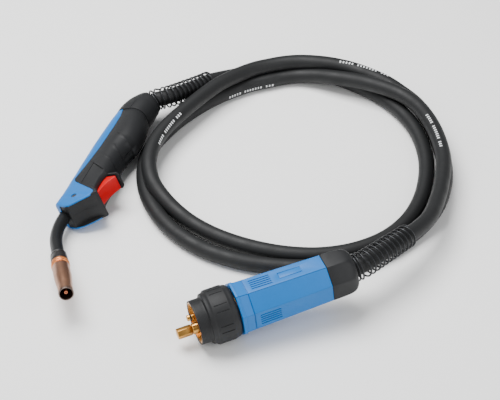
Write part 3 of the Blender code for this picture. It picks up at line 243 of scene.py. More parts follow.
def surface(name, colour, dark, metallic, rough, grain, bump, spread, patch=22.2, rings=None,
            ior=None, heat=()):
    """A Principled surface with a fine grain in its relief and soft patches in its finish.

    grain, patch and rings are millimetres: the width of a grain or of a patch, and the
    distance between turned lines.
    """
    mat = bpy.data.materials.new(name)
    mat.use_nodes = True
    tree = mat.node_tree
    shader = tree.nodes["Principled BSDF"]
    where = add(tree, "ShaderNodeTexCoord").outputs["Object"]
    fine, broad, speck = (
        add(tree, "ShaderNodeTexNoise", Vector=where, Scale=1.0 / (width * MM), Detail=detail,
            Roughness=mix)
        for width, detail, mix in ((grain, 4.0, 0.6), (patch, 5.0, 0.55), (patch / 9.0, 3.0, 0.7)))
    both = add(tree, "ShaderNodeMath", {"operation": "MULTIPLY_ADD"},
               i0=speck.outputs["Fac"], i1=0.35, i2=broad.outputs["Fac"])
    tone = add(tree, "ShaderNodeMapRange", Value=both.outputs[0], From_Min=0.45, From_Max=0.9)
    mixed = add(tree, "ShaderNodeMix", {"data_type": "RGBA"}, Factor=tone.outputs["Result"],
                i6=shaded(colour, dark), i7=shaded(colour, 1.0))
    base = mixed.outputs[2]
    height_of = add(tree, "ShaderNodeSeparateXYZ", Vector=where).outputs["Z"]
    for start, end, tint in heat:
        along = add(tree, "ShaderNodeMapRange", Value=height_of, From_Min=start, From_Max=end)
        film = add(tree, "ShaderNodeMix", {"data_type": "RGBA"}, Factor=along.outputs["Result"],
                   i6=base, i7=linear(tint) + (1.0,))
        base = film.outputs[2]
    tree.links.new(base, shader.inputs["Base Color"])
    sheen = add(tree, "ShaderNodeMapRange", Value=both.outputs[0], From_Min=0.4, From_Max=0.95,
                To_Min=rough + spread, To_Max=rough - spread)
    tree.links.new(sheen.outputs["Result"], shader.inputs["Roughness"])
    height = fine.outputs["Fac"]
    if rings:
        wave = add(tree, "ShaderNodeTexWave", {"bands_direction": "Z"}, Vector=where,
                   Scale=WAVE / (rings * MM), Distortion=0.6, Detail=2.0, Detail_Scale=4.0)
        height = add(tree, "ShaderNodeMath", {"operation": "MULTIPLY_ADD"},
                     i0=wave.outputs["Fac"], i1=0.8, i2=height).outputs[0]
    relief = add(tree, "ShaderNodeBump", Strength=bump, Distance=0.0002, Height=height)
    tree.links.new(relief.outputs["Normal"], shader.inputs["Normal"])
    shader.inputs["Metallic"].default_value = metallic
    if not metallic:
        # dull skin of a moulded or rubbed surface
        shader.inputs["Specular IOR Level"].default_value = 0.3
    if ior:
        shader.inputs["IOR"].default_value = ior
    mat.diffuse_color = tuple(colour) + (1.0,)
    MATERIALS[name] = mat
    return mat


def make_materials(s):
    # the real grains are 0.05 to 0.3 mm wide and the turned lines 0.3 mm apart: too fine to show,
    # so they are drawn 0.7 to 2 mm wide and 4.5 mm apart
    # ABS moulded in a spark eroded tool: an even fine grain that breaks the highlight up
    surface("abs_black_eroded", s.black, 0.82, 0.0, 0.56, 1.11, 0.22, 0.07, ior=1.53)
    # ABS moulded in a finer tool: satin, with a slight orange peel
    surface("abs_blue_satin", s.blue, 0.93, 0.0, 0.46, 1.92, 0.10, 0.05, ior=1.53)
    surface("abs_red_satin", s.red, 0.9, 0.0, 0.34, 1.92, 0.10, 0.05, ior=1.53)
    # rubber sheath, extruded and handled: broad dull highlight, scuffs and dust
    surface("rubber_sheath_extruded", s.sheath, 0.74, 0.0, 0.58, 1.43, 0.2, 0.09, 16.7, ior=1.52)
    # heat resisting sleeve on the neck: a little smoother than the cable
    surface("silicone_sleeve_moulded", s.sheath, 0.8, 0.0, 0.4, 1.67, 0.12, 0.06, 14.3, ior=1.43)
    # copper, spun and turned: fine rings round the axis and a warm tarnish
    surface("copper_turned", s.copper, 0.62, 1.0, 0.33, 1.11, 0.16, 0.1, 7.7, rings=4.49)
    # the nozzle: bright raised rings at the back, brown heat film on the barrel, grey at the mouth
    surface("copper_spun_heat_browned", linear("e8935a"), 0.85, 1.0, 0.36, 1.11, 0.14, 0.09,
            7.7, rings=4.49, heat=((0.0125, 0.015, "a67c64"), (0.0595, 0.0635, "6b5d57")))
    # brass, turned bright: fine rings and a faint dull film
    surface("brass_turned", s.brass, 0.8, 1.0, 0.27, 1.11, 0.12, 0.07, 6.67, rings=4.49)
    # brass, drawn bar with rolled flats
    surface("brass_drawn", s.brass, 0.86, 1.0, 0.3, 0.83, 0.1, 0.05, 8.33)
    # spring steel wire, oil blackened: dark metal with a soft sheen
    surface("steel_oil_blackened", linear("3a3b3d"), 0.7, 0.85, 0.36, 0.67, 0.1, 0.08, 5.0)
    # steel, turned and nickel plated
    surface("steel_nickel_plated", linear("b4b5b6"), 0.85, 1.0, 0.25, 0.83, 0.06, 0.06, 5.0)
    # moulded phenolic: dense, nearly black brown, half gloss
    surface("phenolic_moulded", linear("1d1a18"), 0.85, 0.0, 0.36, 1.25, 0.1, 0.05, ior=1.6)
    # nitrile seal
    surface("nitrile_moulded", linear("17181a"), 0.85, 0.0, 0.42, 1.11, 0.08, 0.05, ior=1.52)
    # printing ink on the sheath: chalky and slightly worn
    surface("ink_printed", linear("dfe1e2"), 0.8, 0.0, 0.7, 0.67, 0.1, 0.05, 3.33, ior=1.5)


# ---- shapes

def between(rows, count):
    """The rows joined by monotone cubics, with this many steps in each gap."""
    keys = [row[0] for row in rows]
    columns = []
    last = len(rows) - 1
    for c in range(1, len(rows[0])):
        d = [(rows[i + 1][c] - rows[i][c]) / (keys[i + 1] - keys[i]) for i in range(last)]
        m = [d[0]]
        for i in range(1, last):
            m.append(0.0 if d[i - 1] * d[i] <= 0.0 else 2.0 / (1.0 / d[i - 1] + 1.0 / d[i]))
        columns.append(m + [d[-1]])
    out = []
    for i in range(last):
        h = keys[i + 1] - keys[i]
        for k in range(count):
            t = k / count
            row = [keys[i] + h * t]
            for c, m in enumerate(columns, 1):
                row.append((2 * t ** 3 - 3 * t ** 2 + 1) * rows[i][c]
                           + (t ** 3 - 2 * t ** 2 + t) * h * m[i]
                           + (3 * t ** 2 - 2 * t ** 3) * rows[i + 1][c]
                           + (t ** 3 - t ** 2) * h * m[i + 1])
            out.append(row)
    out.append(list(rows[last]))
    return out


def settle(ob, angle=35.0):
    """Apply what is on the piece and shade it smooth up to this angle."""
    bpy.context.view_layer.update()
    deps = bpy.context.evaluated_depsgraph_get()
    mesh = bpy.data.meshes.new_from_object(ob.evaluated_get(deps))
    ob.modifiers.clear()
    ob.data = mesh
    mesh.shade_smooth()
    mesh.set_sharp_from_angle(angle=math.radians(angle))
    return ob


def soften(ob, width, segments=2, angle=38.0, seam=-1.0):
    """Round the edges sharper than the angle, but leave those of the seam plane crisp."""
    work = bmesh.new()
    work.from_mesh(ob.data)
    weights = work.edges.layers.float.new("bevel_weight_edge")
    for edge in work.edges:
        if len(edge.link_faces) == 2 and edge.calc_face_angle(0.0) > math.radians(angle):
            low = max(abs(v.co.z) for v in edge.verts)
            edge[weights] = 0.0 if low < seam * MM else 1.0
    work.to_mesh(ob.data)
    work.free()
    mod = ob.modifiers.new("edge", "BEVEL")
    mod.width = width * MM
    mod.segments = segments
    mod.limit_method = "WEIGHT"
    return settle(ob, 32.0)


def linked(name, data):
    ob = bpy.data.objects.new(name, data)
    bpy.context.scene.collection.objects.link(ob)
    return ob


def object_of(name, bm, matrix=None, angle=35.0):
    bmesh.ops.remove_doubles(bm, verts=bm.verts, dist=1e-6)
    bmesh.ops.recalc_face_normals(bm, faces=bm.faces)
    mesh = bpy.data.meshes.new(name)
    bm.to_mesh(mesh)
    bm.free()
    mesh.shade_smooth()
    mesh.set_sharp_from_angle(angle=math.radians(angle))
    ob = linked(name, mesh)
    if matrix is not None:
        ob.matrix_world = matrix
    return ob


def place(ob, mat, body, slot, *nodes):
    """Give a piece its finish and its body, and hide the solids it stands for."""
    ob.data.materials.clear()
    ob.data.materials.append(MATERIALS[mat])
    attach(ob, body)
    if nodes:
        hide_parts(*nodes)
    return ob


def skin(rings, loop=False):
    bm = bmesh.new()
    made = [[bm.verts.new(p) for p in ring] for ring in rings]
    count = len(rings[0])
    for i in range(len(made) if loop else len(made) - 1):
        a = made[i]
        b = made[(i + 1) % len(made)]
        for j in range(count):
            k = (j + 1) % count
            bm.faces.new((a[j], a[k], b[k], b[j]))
    if not loop:
        bm.faces.new(made[0])
        bm.faces.new(list(reversed(made[-1])))
    return bm


def circle(radius, z, segments):
    return [(radius * MM * math.cos(a), radius * MM * math.sin(a), z * MM)
            for a in [2.0 * math.pi * j / segments for j in range(segments)]]


def lathe(profile, segments=72):
    """Revolve a closed profile of (radius, z) in millimetres round Z."""
    return skin([circle(r, z, segments) for r, z in profile], loop=True)


def rod(profile, segments=48):
    return skin([circle(r, z, segments) for r, z in profile])


def prism(points, z0, z1):
    return skin([[(x * MM, y * MM, z * MM) for x, y in points] for z in (z0, z1)])


def block(x0, x1, y0, y1, z0, z1):
    return prism(((x0, y0), (x1, y0), (x1, y1), (x0, y1)), z0, z1)


def moved(bm, matrix):
    bm.transform(matrix)
    return bm


def at(x, y, z):
    return Matrix.Translation(Vector((x, y, z)) * MM)


def cut(ob, bm, how="DIFFERENCE"):
    """Apply an exact Boolean for good."""
    cutter = object_of("cutter", bm)
    mod = ob.modifiers.new("cut", "BOOLEAN")
    mod.operation = how
    mod.solver = "EXACT"
    mod.object = cutter
    settle(ob)
    bpy.data.objects.remove(cutter, do_unlink=True)
    return ob


def loose(ob):
    """The shape of a helper piece, which is then gone."""
    bm = bmesh.new()
    bm.from_mesh(ob.data)
    bpy.data.objects.remove(ob, do_unlink=True)
    return bm


def twin_of(ob, name):
    twin = ob.copy()
    twin.data = ob.data.copy()
    twin.name = name
    bpy.context.scene.collection.objects.link(twin)
    return twin


def corner_ring(y, x0, x1, half, r0, r1, steps=9):
    """Rounded rectangle in the XZ plane at y, back corners r0, trigger side corners r1."""
    limit = 0.49 * min(x1 - x0, 2.0 * half)
    r0 = max(0.3, min(r0, limit))
    r1 = max(0.3, min(r1, limit))
    corners = ((x1 - r1, half - r1, r1, 0.0), (x0 + r0, half - r0, r0, 90.0),
               (x0 + r0, r0 - half, r0, 180.0), (x1 - r1, r1 - half, r1, 270.0))
    ring = []
    for cx, cz, r, start in corners:
        for i in range(steps + 1):
            a = math.radians(start + 90.0 * i / steps)
            ring.append(((cx + r * math.cos(a)) * MM, y * MM, (cz + r * math.sin(a)) * MM))
    return ring


def turned_ring(cy, cx, turn, wide, half, r):
    a = math.radians(turn)
    return [(cx * MM + x * math.cos(a), cy * MM - x * math.sin(a), z)
            for x, _, z in corner_ring(0.0, -wide, wide, half, r, r)]


def handle_rings(back=0.0, front=0.0, side=0.0, y_from=None, y_to=-200.0):
    """Outline of the handle, shrunk by these millimetres at its back, trigger side and faces."""
    rows = [row for row in between(HANDLE_ROWS, 3) if row[0] >= y_to]
    if y_from is not None:
        rows.insert(0, (y_from,) + HANDLE_ROWS[0][1:])
    return [corner_ring(y, x0 + back, x1 - front, half - side, r0 - back,
                        r1 - max(front, 0.5 * side)) for y, x0, x1, half, r0, r1 in rows]


def facing(point, ahead):
    """+Z ahead and +Y up, at the point."""
    side = UP.cross(ahead).normalized()
    turn = Matrix((side, ahead.cross(side), ahead)).transposed()
    return Matrix.Translation(point) @ turn.to_4x4()


def neck_frame(s):
    """+Z forward along the neck, s metres after the bend begins."""
    a = max(0.0, min(s, NECK_ARC)) / NECK_BEND_R
    d = Vector((math.sin(a), -math.cos(a), 0.0))
    p = Vector((NECK_X + NECK_BEND_R * (1.0 - math.cos(a)),
                NECK_BEND_Y - NECK_BEND_R * math.sin(a), 0.0))
    return facing(p + d * (min(0.0, s) + max(0.0, s - NECK_ARC)), d)


def octagon(z, flat, corner=1.6, soft=0.0):
    """Octagon ring with rounded corners, softened toward a circle."""
    r = corner * (1.0 - soft) + flat * soft
    reach = (flat - r) / math.cos(math.radians(22.5))
    ring = []
    for i in range(8):
        v = math.radians(45.0 * i + 22.5)
        for k in range(7):
            a = v + math.radians(-22.5 + 45.0 * k / 6.0)
            ring.append(((reach * math.cos(v) + r * math.cos(a)) * MM,
                         (reach * math.sin(v) + r * math.sin(a)) * MM, z * MM))
    return ring


def smooth_line(points, count):
    """Centripetal Catmull-Rom line through the points, evenly respaced."""
    pts = [points[0] * 2.0 - points[1]] + points + [points[-1] * 2.0 - points[-2]]
    fine = []
    for i in range(1, len(pts) - 2):
        p0, p1, p2, p3 = pts[i - 1:i + 3]
        t0 = 0.0
        t1 = math.sqrt((p1 - p0).length)
        t2 = t1 + math.sqrt((p2 - p1).length)
        t3 = t2 + math.sqrt((p3 - p2).length)
        for k in range(16):
            t = t1 + (t2 - t1) * k / 16.0
            a1 = p0.lerp(p1, (t - t0) / (t1 - t0))
            a2 = p1.lerp(p2, (t - t1) / (t2 - t1))
            a3 = p2.lerp(p3, (t - t2) / (t3 - t2))
            b1 = a1.lerp(a2, (t - t0) / (t2 - t0))
            b2 = a2.lerp(a3, (t - t1) / (t3 - t1))
            fine.append(b1.lerp(b2, (t - t1) / (t2 - t1)))
    fine.append(pts[-2])
    along = [0.0]
    for i in range(1, len(fine)):
        along.append(along[-1] + (fine[i] - fine[i - 1]).length)
    line = []
    j = 0
    for i in range(count):
        want = along[-1] * i / (count - 1)
        while j < len(fine) - 2 and along[j + 1] < want:
            j += 1
        span = max(along[j + 1] - along[j], 1e-9)
        line.append(fine[j].lerp(fine[j + 1], (want - along[j]) / span))
    return line


def cable_line(count):
    return ROUTE[:1] + smooth_line(ROUTE[1:-1], count) + ROUTE[-1:]


def wire(name, points, radius, resolution=6):
    curve = bpy.data.curves.new(name, "CURVE")
    curve.dimensions = "3D"
    curve.bevel_depth = radius
    curve.bevel_resolution = resolution
    curve.use_fill_caps = True
    spline = curve.splines.new("POLY")
    spline.points.add(len(points) - 1)
    for i, p in enumerate(points):
        spline.points[i].co = (p[0], p[1], p[2], 1.0)
    spline.use_smooth = True
    return linked(name, curve)


def helix(line, start, length, radii, turns):
    """Helix round a stretch of a line, with its end turns wound close."""
    total = [0.0]
    for i in range(1, len(line)):
        total.append(total[-1] + (line[i] - line[i - 1]).length)
    per_turn = 32
    count = int(turns * per_turn)
    side = UP
    pts = []
    close = 1.0 / turns
    for i in range(count + 1):
        t = i / count
        if t < close:
            ramp = 0.5 * t
        elif t > 1.0 - close:
            ramp = 1.0 - 0.5 * (1.0 - t)
        else:
            ramp = 0.5 * close + (t - close) * (1.0 - close) / (1.0 - 2.0 * close)
        want = start + length * ramp
        j = 0
        while j < len(line) - 2 and total[j + 1] < want:
            j += 1
        p = line[j].lerp(line[j + 1], (want - total[j]) / (total[j + 1] - total[j]))
        d = (line[min(len(line) - 1, j + 2)] - line[max(0, j - 1)]).normalized()
        side = (side - d * side.dot(d)).normalized()
        up = d.cross(side)
        a = 2.0 * math.pi * i / per_turn
        r = radii[0] + (radii[1] - radii[0]) * t
        pts.append(p + side * (r * math.cos(a)) + up * (r * math.sin(a)))
    return pts


TAIL_FRAME = facing(TAIL_EXIT, Vector((math.sin(TAIL_TURN), math.cos(TAIL_TURN), 0.0)))
PLUG_FRAME = facing(PLUG_AT, PLUG_AXIS)


# ---- pieces

def aimed(name, data, where, target):
    ob = linked(name, data)
    ob.location = where
    ob.rotation_euler = (target - where).to_track_quat("-Z", "Y").to_euler()
    return ob


def build_stage(s):
    floor = object_of("floor", block(-4000.0, 4000.0, -4000.0, 4000.0, -20.0, -0.2))
    # painted board: matt, almost white
    surface("paint_matt_white", linear("f7f7f6"), 0.99, 0.0, 0.85, 3.33, 0.02, 0.02, 250.0, ior=1.5)
    floor.data.materials.append(MATERIALS["paint_matt_white"])
    world = bpy.data.worlds.new("studio")
    bpy.context.scene.world = world
    world.use_nodes = True
    back = world.node_tree.nodes["Background"]
    back.inputs["Color"].default_value = (0.97, 0.98, 1.0, 1.0)
    back.inputs["Strength"].default_value = SKY
    for name, where, size, power in LAMPS:
        light = bpy.data.lights.new(name, "AREA")
        light.shape = "SQUARE"
        light.size = size
        light.energy = power
        aimed(name, light, MIDDLE + Vector(where), MIDDLE)
    camera = bpy.data.cameras.new("view")
    camera.sensor_width = 36.0
    camera.lens = VIEW_LENS
    camera.clip_end = 20.0
    level = math.cos(VIEW_ELEVATION)
    way = Vector((math.sin(VIEW_AZIMUTH) * level, -math.cos(VIEW_AZIMUTH) * level,
                  math.sin(VIEW_ELEVATION)))
    bpy.context.scene.camera = aimed("view", camera, VIEW_AT + VIEW_DISTANCE * way, VIEW_AT)


def build_cable(s):
    line = cable_line(CABLE_STEPS)
    sheath = wire("cable_sheath", line, 0.5 * s.cable_width, 10)
    place(sheath, "rubber_sheath_extruded", "torch", "rubber", "cable")


def print_row(bm, line, i, lean, radius):
    """Seven points across the sheath, this many degrees from its top toward the outside."""
    p = line[i]
    d = (line[i + 1] - line[i - 1]).normalized()
    out = p - COIL_CENTRE
    out = (out - d * out.dot(d)).normalized()
    up = (UP - d * UP.dot(d)).normalized()
    out = (out - up * out.dot(up)).normalized()
    angles = [math.radians(lean) + w * 0.5 * MM / radius for w in range(-3, 4)]
    return [bm.verts.new(p + (up * math.cos(a) + out * math.sin(a)) * radius) for a in angles]


def build_print(s):
    """Plain dashes, as the printed line of the sheath: groups of short marks."""
    radius = 0.5 * s.cable_width + 0.05 * MM
    fine = smooth_line(ROUTE[1:-1], 3000)
    nearest = []
    for p in ROUTE:
        gaps = [(p - q).length_squared for q in fine]
        nearest.append(gaps.index(min(gaps)))
    words = (5, 7, 3)
    margin = 8  # line points kept free before the end of a group
    mark, pitch, space = 2.2 * MM, 3.4 * MM, 3.2 * MM

    def spot(k):
        low = int(k)
        return round(nearest[low] + (nearest[low + 1] - nearest[low]) * (k - low))

    step = (fine[1] - fine[0]).length
    bm = bmesh.new()
    length = max(2, round(mark / step))
    for first, last, lean0, lean1 in PRINTED:
        begin = i = spot(first)
        end = spot(last)
        for letters in words:
            for _ in range(letters):
                if i + margin < end:
                    lean = lean0 + (lean1 - lean0) * (i - begin) / (end - begin)
                    rows = [print_row(bm, fine, i + k, lean, radius) for k in range(length + 1)]
                    for a, b in zip(rows, rows[1:]):
                        for w in range(6):
                            bm.faces.new((a[w], a[w + 1], b[w + 1], b[w]))
                i += round(pitch / step)
            i += round(space / step)
    place(object_of("sheath_marks", bm), "ink_printed", "torch", "rubber")


def build_springs(s):
    line = cable_line(701)
    radius = 0.5 * s.wire_width
    for name, node, grip, first, last in (
            ("tail_bend_spring", "handle_spring", TAIL_GRIP, 11.8, 11.2),
            ("plug_bend_spring", "plug_spring", PLUG_GRIP, 13.4, 11.4)):
        coil = helix(line, grip + GAP + radius, SPRING_LENGTH, (first * MM, last * MM),
                     s.spring_turns)
        place(wire(name, coil, radius, 3), "steel_oil_blackened", "torch", "dark_steel", node)
        line.reverse()


def build_neck(s):
    bore = 4.5
    outer = NECK_SLEEVE_R / MM
    rings = []
    count = 44
    start = -20.0 * MM
    path = [start + (SLEEVE_END - start) * i / count for i in range(count + 1)]
    for i, at_s in enumerate(path):
        near = min(at_s - path[0], path[-1] - at_s) / MM
        r = outer - max(0.0, 0.5 - near)
        rings.append([neck_frame(at_s) @ Vector(p) for p in circle(r, 0.0, 40)])
    for at_s in reversed(path):
        rings.append([neck_frame(at_s) @ Vector(p) for p in circle(bore, 0.0, 40)])
    sleeve = object_of("swan_neck_sleeve", skin(rings, loop=True), HANDLE)
    place(sleeve, "silicone_sleeve_moulded", "torch", "rubber", "neck_sleeve")

    ring = ((bore, 0.0), (7.6, 0.0), (8.1, 0.2), (8.4, 0.7), (8.5, 2.6), (8.2, 3.0), (8.2, 3.6),
            (8.6, 4.0), (8.8, 8.0), (8.95, 11.0), (9.0, 14.6), (8.8, 15.1), (7.4, 15.1),
            (7.4, 11.0), (bore, 11.0))
    insulator = object_of("nozzle_insulator_ring", lathe(ring),
                          HANDLE @ neck_frame(SLEEVE_END + GAP))
    place(insulator, "phenolic_moulded", "torch", "black_plastic", "nozzle_insulator")

    front = HANDLE @ neck_frame(TIP_START)
    seat = ((1.6, 3.2), (5.2, 3.2), (5.4, 3.4), (5.4, 17.0), (4.8, 18.2), (4.8, 30.0), (4.2, 32.0),
            (1.6, 32.0))
    diffuser = object_of("tip_seat", lathe(seat, 48), front)
    for k in range(4):
        turn = Matrix.Rotation(math.pi * k / 2.0, 4, "Z") @ at(4.0, 0.0, 26.0)
        hole = rod(((0.9, -3.0), (0.9, 3.0)), 16)
        cut(diffuser, moved(hole, front @ turn @ Matrix.Rotation(math.pi / 2.0, 4, "Y")))
    place(diffuser, "brass_turned", "torch", "brass", "gas_diffuser")

    tip = ((0.6, 32.3), (2.8, 32.3), (3.0, 32.6), (3.0, 35.4), (2.7, 35.8), (2.7, 36.2), (3.0, 36.6),
           (3.0, 53.5), (2.5, 57.5), (2.0, 60.6), (1.7, 61.0), (0.75, 61.0), (0.6, 60.6))
    place(object_of("wire_contact_tip", lathe(tip, 48), front), "copper_turned", "torch",
          "copper", "contact_tip")
    clip = []
    for i in range(3 * 32 + 1):
        a = 2.0 * math.pi * i / 32
        clip.append(Vector((6.45 * math.cos(a), 6.45 * math.sin(a), 4.8 + 3.2 * i / 32)) * MM)
    spring = wire("nozzle_clip", clip, 0.6 * MM, 3)
    spring.matrix_world = front
    place(spring, "steel_nickel_plated", "torch", "steel", "nozzle_clip_spring")


def build_nozzle(s):
    """Spun copper nozzle: two raised rings, a long taper and a straight mouth."""
    front = HANDLE @ neck_frame(TIP_START)
    outer = [(8.7, 4.3), (9.0, 4.5), (9.05, 4.9)]
    for centre in (7.4, 11.0):
        outer += [(8.8, centre - 1.0), (9.1, centre - 0.8), (9.4, centre - 0.5),
                  (9.5, centre - 0.2), (9.5, centre + 0.2), (9.4, centre + 0.5),
                  (9.1, centre + 0.8), (8.8, centre + 1.0)]
    outer += [(9.0, 14.0), (9.0, 30.0), (8.95, 33.0), (8.75, 37.0), (7.85, 48.5), (7.68, 51.0),
              (7.6, 53.0), (7.6, 63.3), (7.5, 63.8), (7.25, 64.0)]
    inner = [(6.65, 64.0), (6.42, 63.8), (6.4, 63.4), (6.4, 52.0), (6.55, 48.0), (7.6, 34.0),
             (7.8, 30.0), (7.8, 4.6), (8.0, 4.3)]
    nozzle = object_of("copper_nozzle", lathe(outer + inner, 96), front, 50.0)
    place(nozzle, "copper_spun_heat_browned", "nozzle", "copper", "gas_nozzle")


def cover_prism(grow):
    edge = []
    last = len(COVER_EDGE) - 1
    for i, (x, y) in enumerate(COVER_EDGE):
        ax, ay = COVER_EDGE[max(0, i - 1)]
        bx, by = COVER_EDGE[min(last, i + 1)]
        tx, ty = bx - ax, by - ay
        size = math.hypot(tx, ty)
        edge.append((x - ty / size * grow, y + tx / size * grow))
    first, end = edge[0], edge[-1]
    pts = [(first[0], first[1] + 6.0)] + edge
    pts += [(end[0], end[1] - 8.0), (-40.0, end[1] - 8.0), (-40.0, first[1] + 6.0)]
    return prism(pts, -30.0, 30.0)


def half_space(top):
    low, high = (0.06, 200.0) if top else (-200.0, -0.06)
    return block(-200.0, 200.0, -200.0, 200.0, low, high)


def neck_hole():
    r = NECK_SLEEVE_R / MM + 0.3
    return moved(rod(((r, -6.0), (r, 50.0)), 40), neck_frame(-20.0 * MM))


def through(x, y, r, low, high, segments=32):
    return moved(rod(((r, low), (r, high)), segments), at(x, y, 0.0))


def ridge(x0, y0, x1, y1, z):
    """Narrow wall across a side of the grip, tapered to nothing at its back end."""
    d = Vector((x1 - x0, y1 - y0, 0.0))
    n = Vector((-d.y, d.x, 0.0)).normalized() * 0.55
    x1 += d.x
    y1 += d.y
    pts = ((x0, y0), (x0 + 0.3 * d.x + n.x, y0 + 0.3 * d.y + n.y), (x1 + n.x, y1 + n.y),
           (x1 - n.x, y1 - n.y), (x0 + 0.3 * d.x - n.x, y0 + 0.3 * d.y - n.y))
    return prism(pts, min(z, 0.0), max(z, 0.0))


def build_grip(s):
    """Black half shells: skin left out for the cover, slot, panels, ridges, concave front."""
    depth = COVER_WALL + 0.3
    body = object_of("grip", skin(handle_rings()))
    lip = prism(((16.0, -9.8), (32.5, -9.8), (34.6, -7.0), (34.6, 7.0), (32.5, 9.8), (16.0, 9.8)),
                -59.3, -57.2)
    lip.transform(Matrix(((1, 0, 0, 0), (0, 0, 1, 0), (0, 1, 0, 0), (0, 0, 0, 1))))
    cut(body, lip, "UNION")
    for sign in (1.0, -1.0):
        for bar in ((7.7, 9.5, 25.0, -1.9), (10.3, -11.2, 21.8, -20.0), (9.9, -30.0, 22.6, -39.9),
                    (-4.0, -40.6, 12.0, -51.4)):
            rib = object_of("rib", skin(handle_rings(-0.4, -0.4, -0.4)))
            cut(rib, ridge(*bar, sign * 40.0), "INTERSECT")
            cut(body, loose(rib), "UNION")
    shave = object_of("shave", cover_prism(0.3))
    cut(shave, skin(handle_rings(depth, -30.0, depth, 70.0)))
    cut(body, loose(shave))
    inset = depth + SHELL_WALL
    cut(body, skin(handle_rings(inset, 2.4, inset, 66.0, CAVITY_Y)))
    cut(body, neck_hole())
    cut(body, block(9.0, 60.0, SLOT_Y[0], SLOT_Y[1], -SLOT_HALF, SLOT_HALF))
    scoop = [(29.5, -97.8)]
    for i in range(13):
        t = i / 12.0
        x = 25.6 + (-2.0 - 25.6) * t
        y = -99.6 + (-117.2 + 99.6) * t
        dip = 3.4 * math.sin(math.pi * t)
        scoop.append((x - 0.54 * dip, y + 0.84 * dip))
    scoop += [(-3.0, -125.0), (32.0, -125.0)]
    cut(body, prism(scoop, -14.0, 14.0))
    for sign in (1.0, -1.0):
        cut(body, block(-2.4, 5.4, -83.0, -65.0, *sorted((sign * 5.3, sign * 14.0))), "UNION")
        low = [(0.6, -78.5), (17.0, -88.6), (40.0, -95.0), (40.0, -68.0), (24.0, -59.6),
               (14.6, -53.8), (0.9, -43.7)]
        cut(body, skin([[(x * MM, y * MM, sign * (15.9 - 0.075 * min(x, 22.0)) * MM)
                         for x, y in low],
                        [(x * MM, y * MM, sign * 30.0 * MM) for x, y in low]]))
    cut(body, through(*SCREW_AT, 1.8, -30.0, 30.0))
    cut(body, through(PIVOT.x / MM, PIVOT.y / MM, 1.8, -14.3, 14.3))
    twin = twin_of(body, "grip_half_lower")
    body.name = "grip_half_upper"
    cut(body, half_space(True), "INTERSECT")
    cut(twin, half_space(False), "INTERSECT")
    for ob, node in ((body, "grip_shell_upper"), (twin, "grip_shell_lower")):
        soften(ob, 0.35, seam=0.1)
        ob.data.transform(HANDLE)
        place(ob, "abs_black_eroded", "torch", "black_plastic", node)


def build_cover(s):
    """Blue cover halves with their cheeks, and the cover screw."""
    cover = object_of("cover_half_upper", skin(handle_rings()))
    cut(cover, cover_prism(0.0), "INTERSECT")
    cut(cover, skin(handle_rings(COVER_WALL, -30.0, COVER_WALL, 70.0)))
    cut(cover, neck_hole())
    cut(cover, block(-11.6, 12.0, -126.0, -111.4, -13.9, 13.9))
    cut(cover, through(*SCREW_AT, 3.1, -30.0, 30.0, 40))
    twin = twin_of(cover, "cover_half_lower")
    cut(cover, half_space(True), "INTERSECT")
    cut(twin, half_space(False), "INTERSECT")
    for ob, node in ((cover, "cover_upper"), (twin, "cover_lower")):
        soften(ob, 0.4, 3, seam=0.1)
        ob.data.transform(HANDLE)
        place(ob, "abs_blue_satin", "torch", "blue_plastic", node)
    face = 16.5 - COVER_WALL
    where = HANDLE @ at(*SCREW_AT, 0.0)
    head = rod(((1.5, -face + 2.0), (1.5, face + 0.1), (2.7, face + 0.1), (2.7, face + 0.9),
                (2.4, face + 1.2), (1.8, face + 1.3)), 40)
    screw = object_of("cover_screw_head", head, where)
    cut(screw, moved(rod(((1.15, face + 0.3), (1.15, face + 3.0)), 6), where))
    place(screw, "steel_nickel_plated", "torch", "dark_steel", "cover_screw")


def build_tail(s):
    cap = object_of("tail_cap_shell", skin([turned_ring(*row) for row in between(TAIL_ROWS, 4)]))
    cut(cap, skin([turned_ring(*row) for row in between(TAIL_ROOM, 3)]))
    cut(cap, moved(rod(((9.3, -20.0), (9.3, 20.0)), 48), TAIL_FRAME))
    seam = ((5.6, 56.5), (6.1, 56.5), (7.9, 71.0), (7.4, 71.0))
    for low, high in ((17.0, 25.0), (-25.0, -17.0)):
        cut(cap, prism(seam, low, high))
    soften(cap, 0.5, 3)
    cap.data.transform(HANDLE)
    place(cap, "abs_black_eroded", "torch", "black_plastic", "tail_cap")


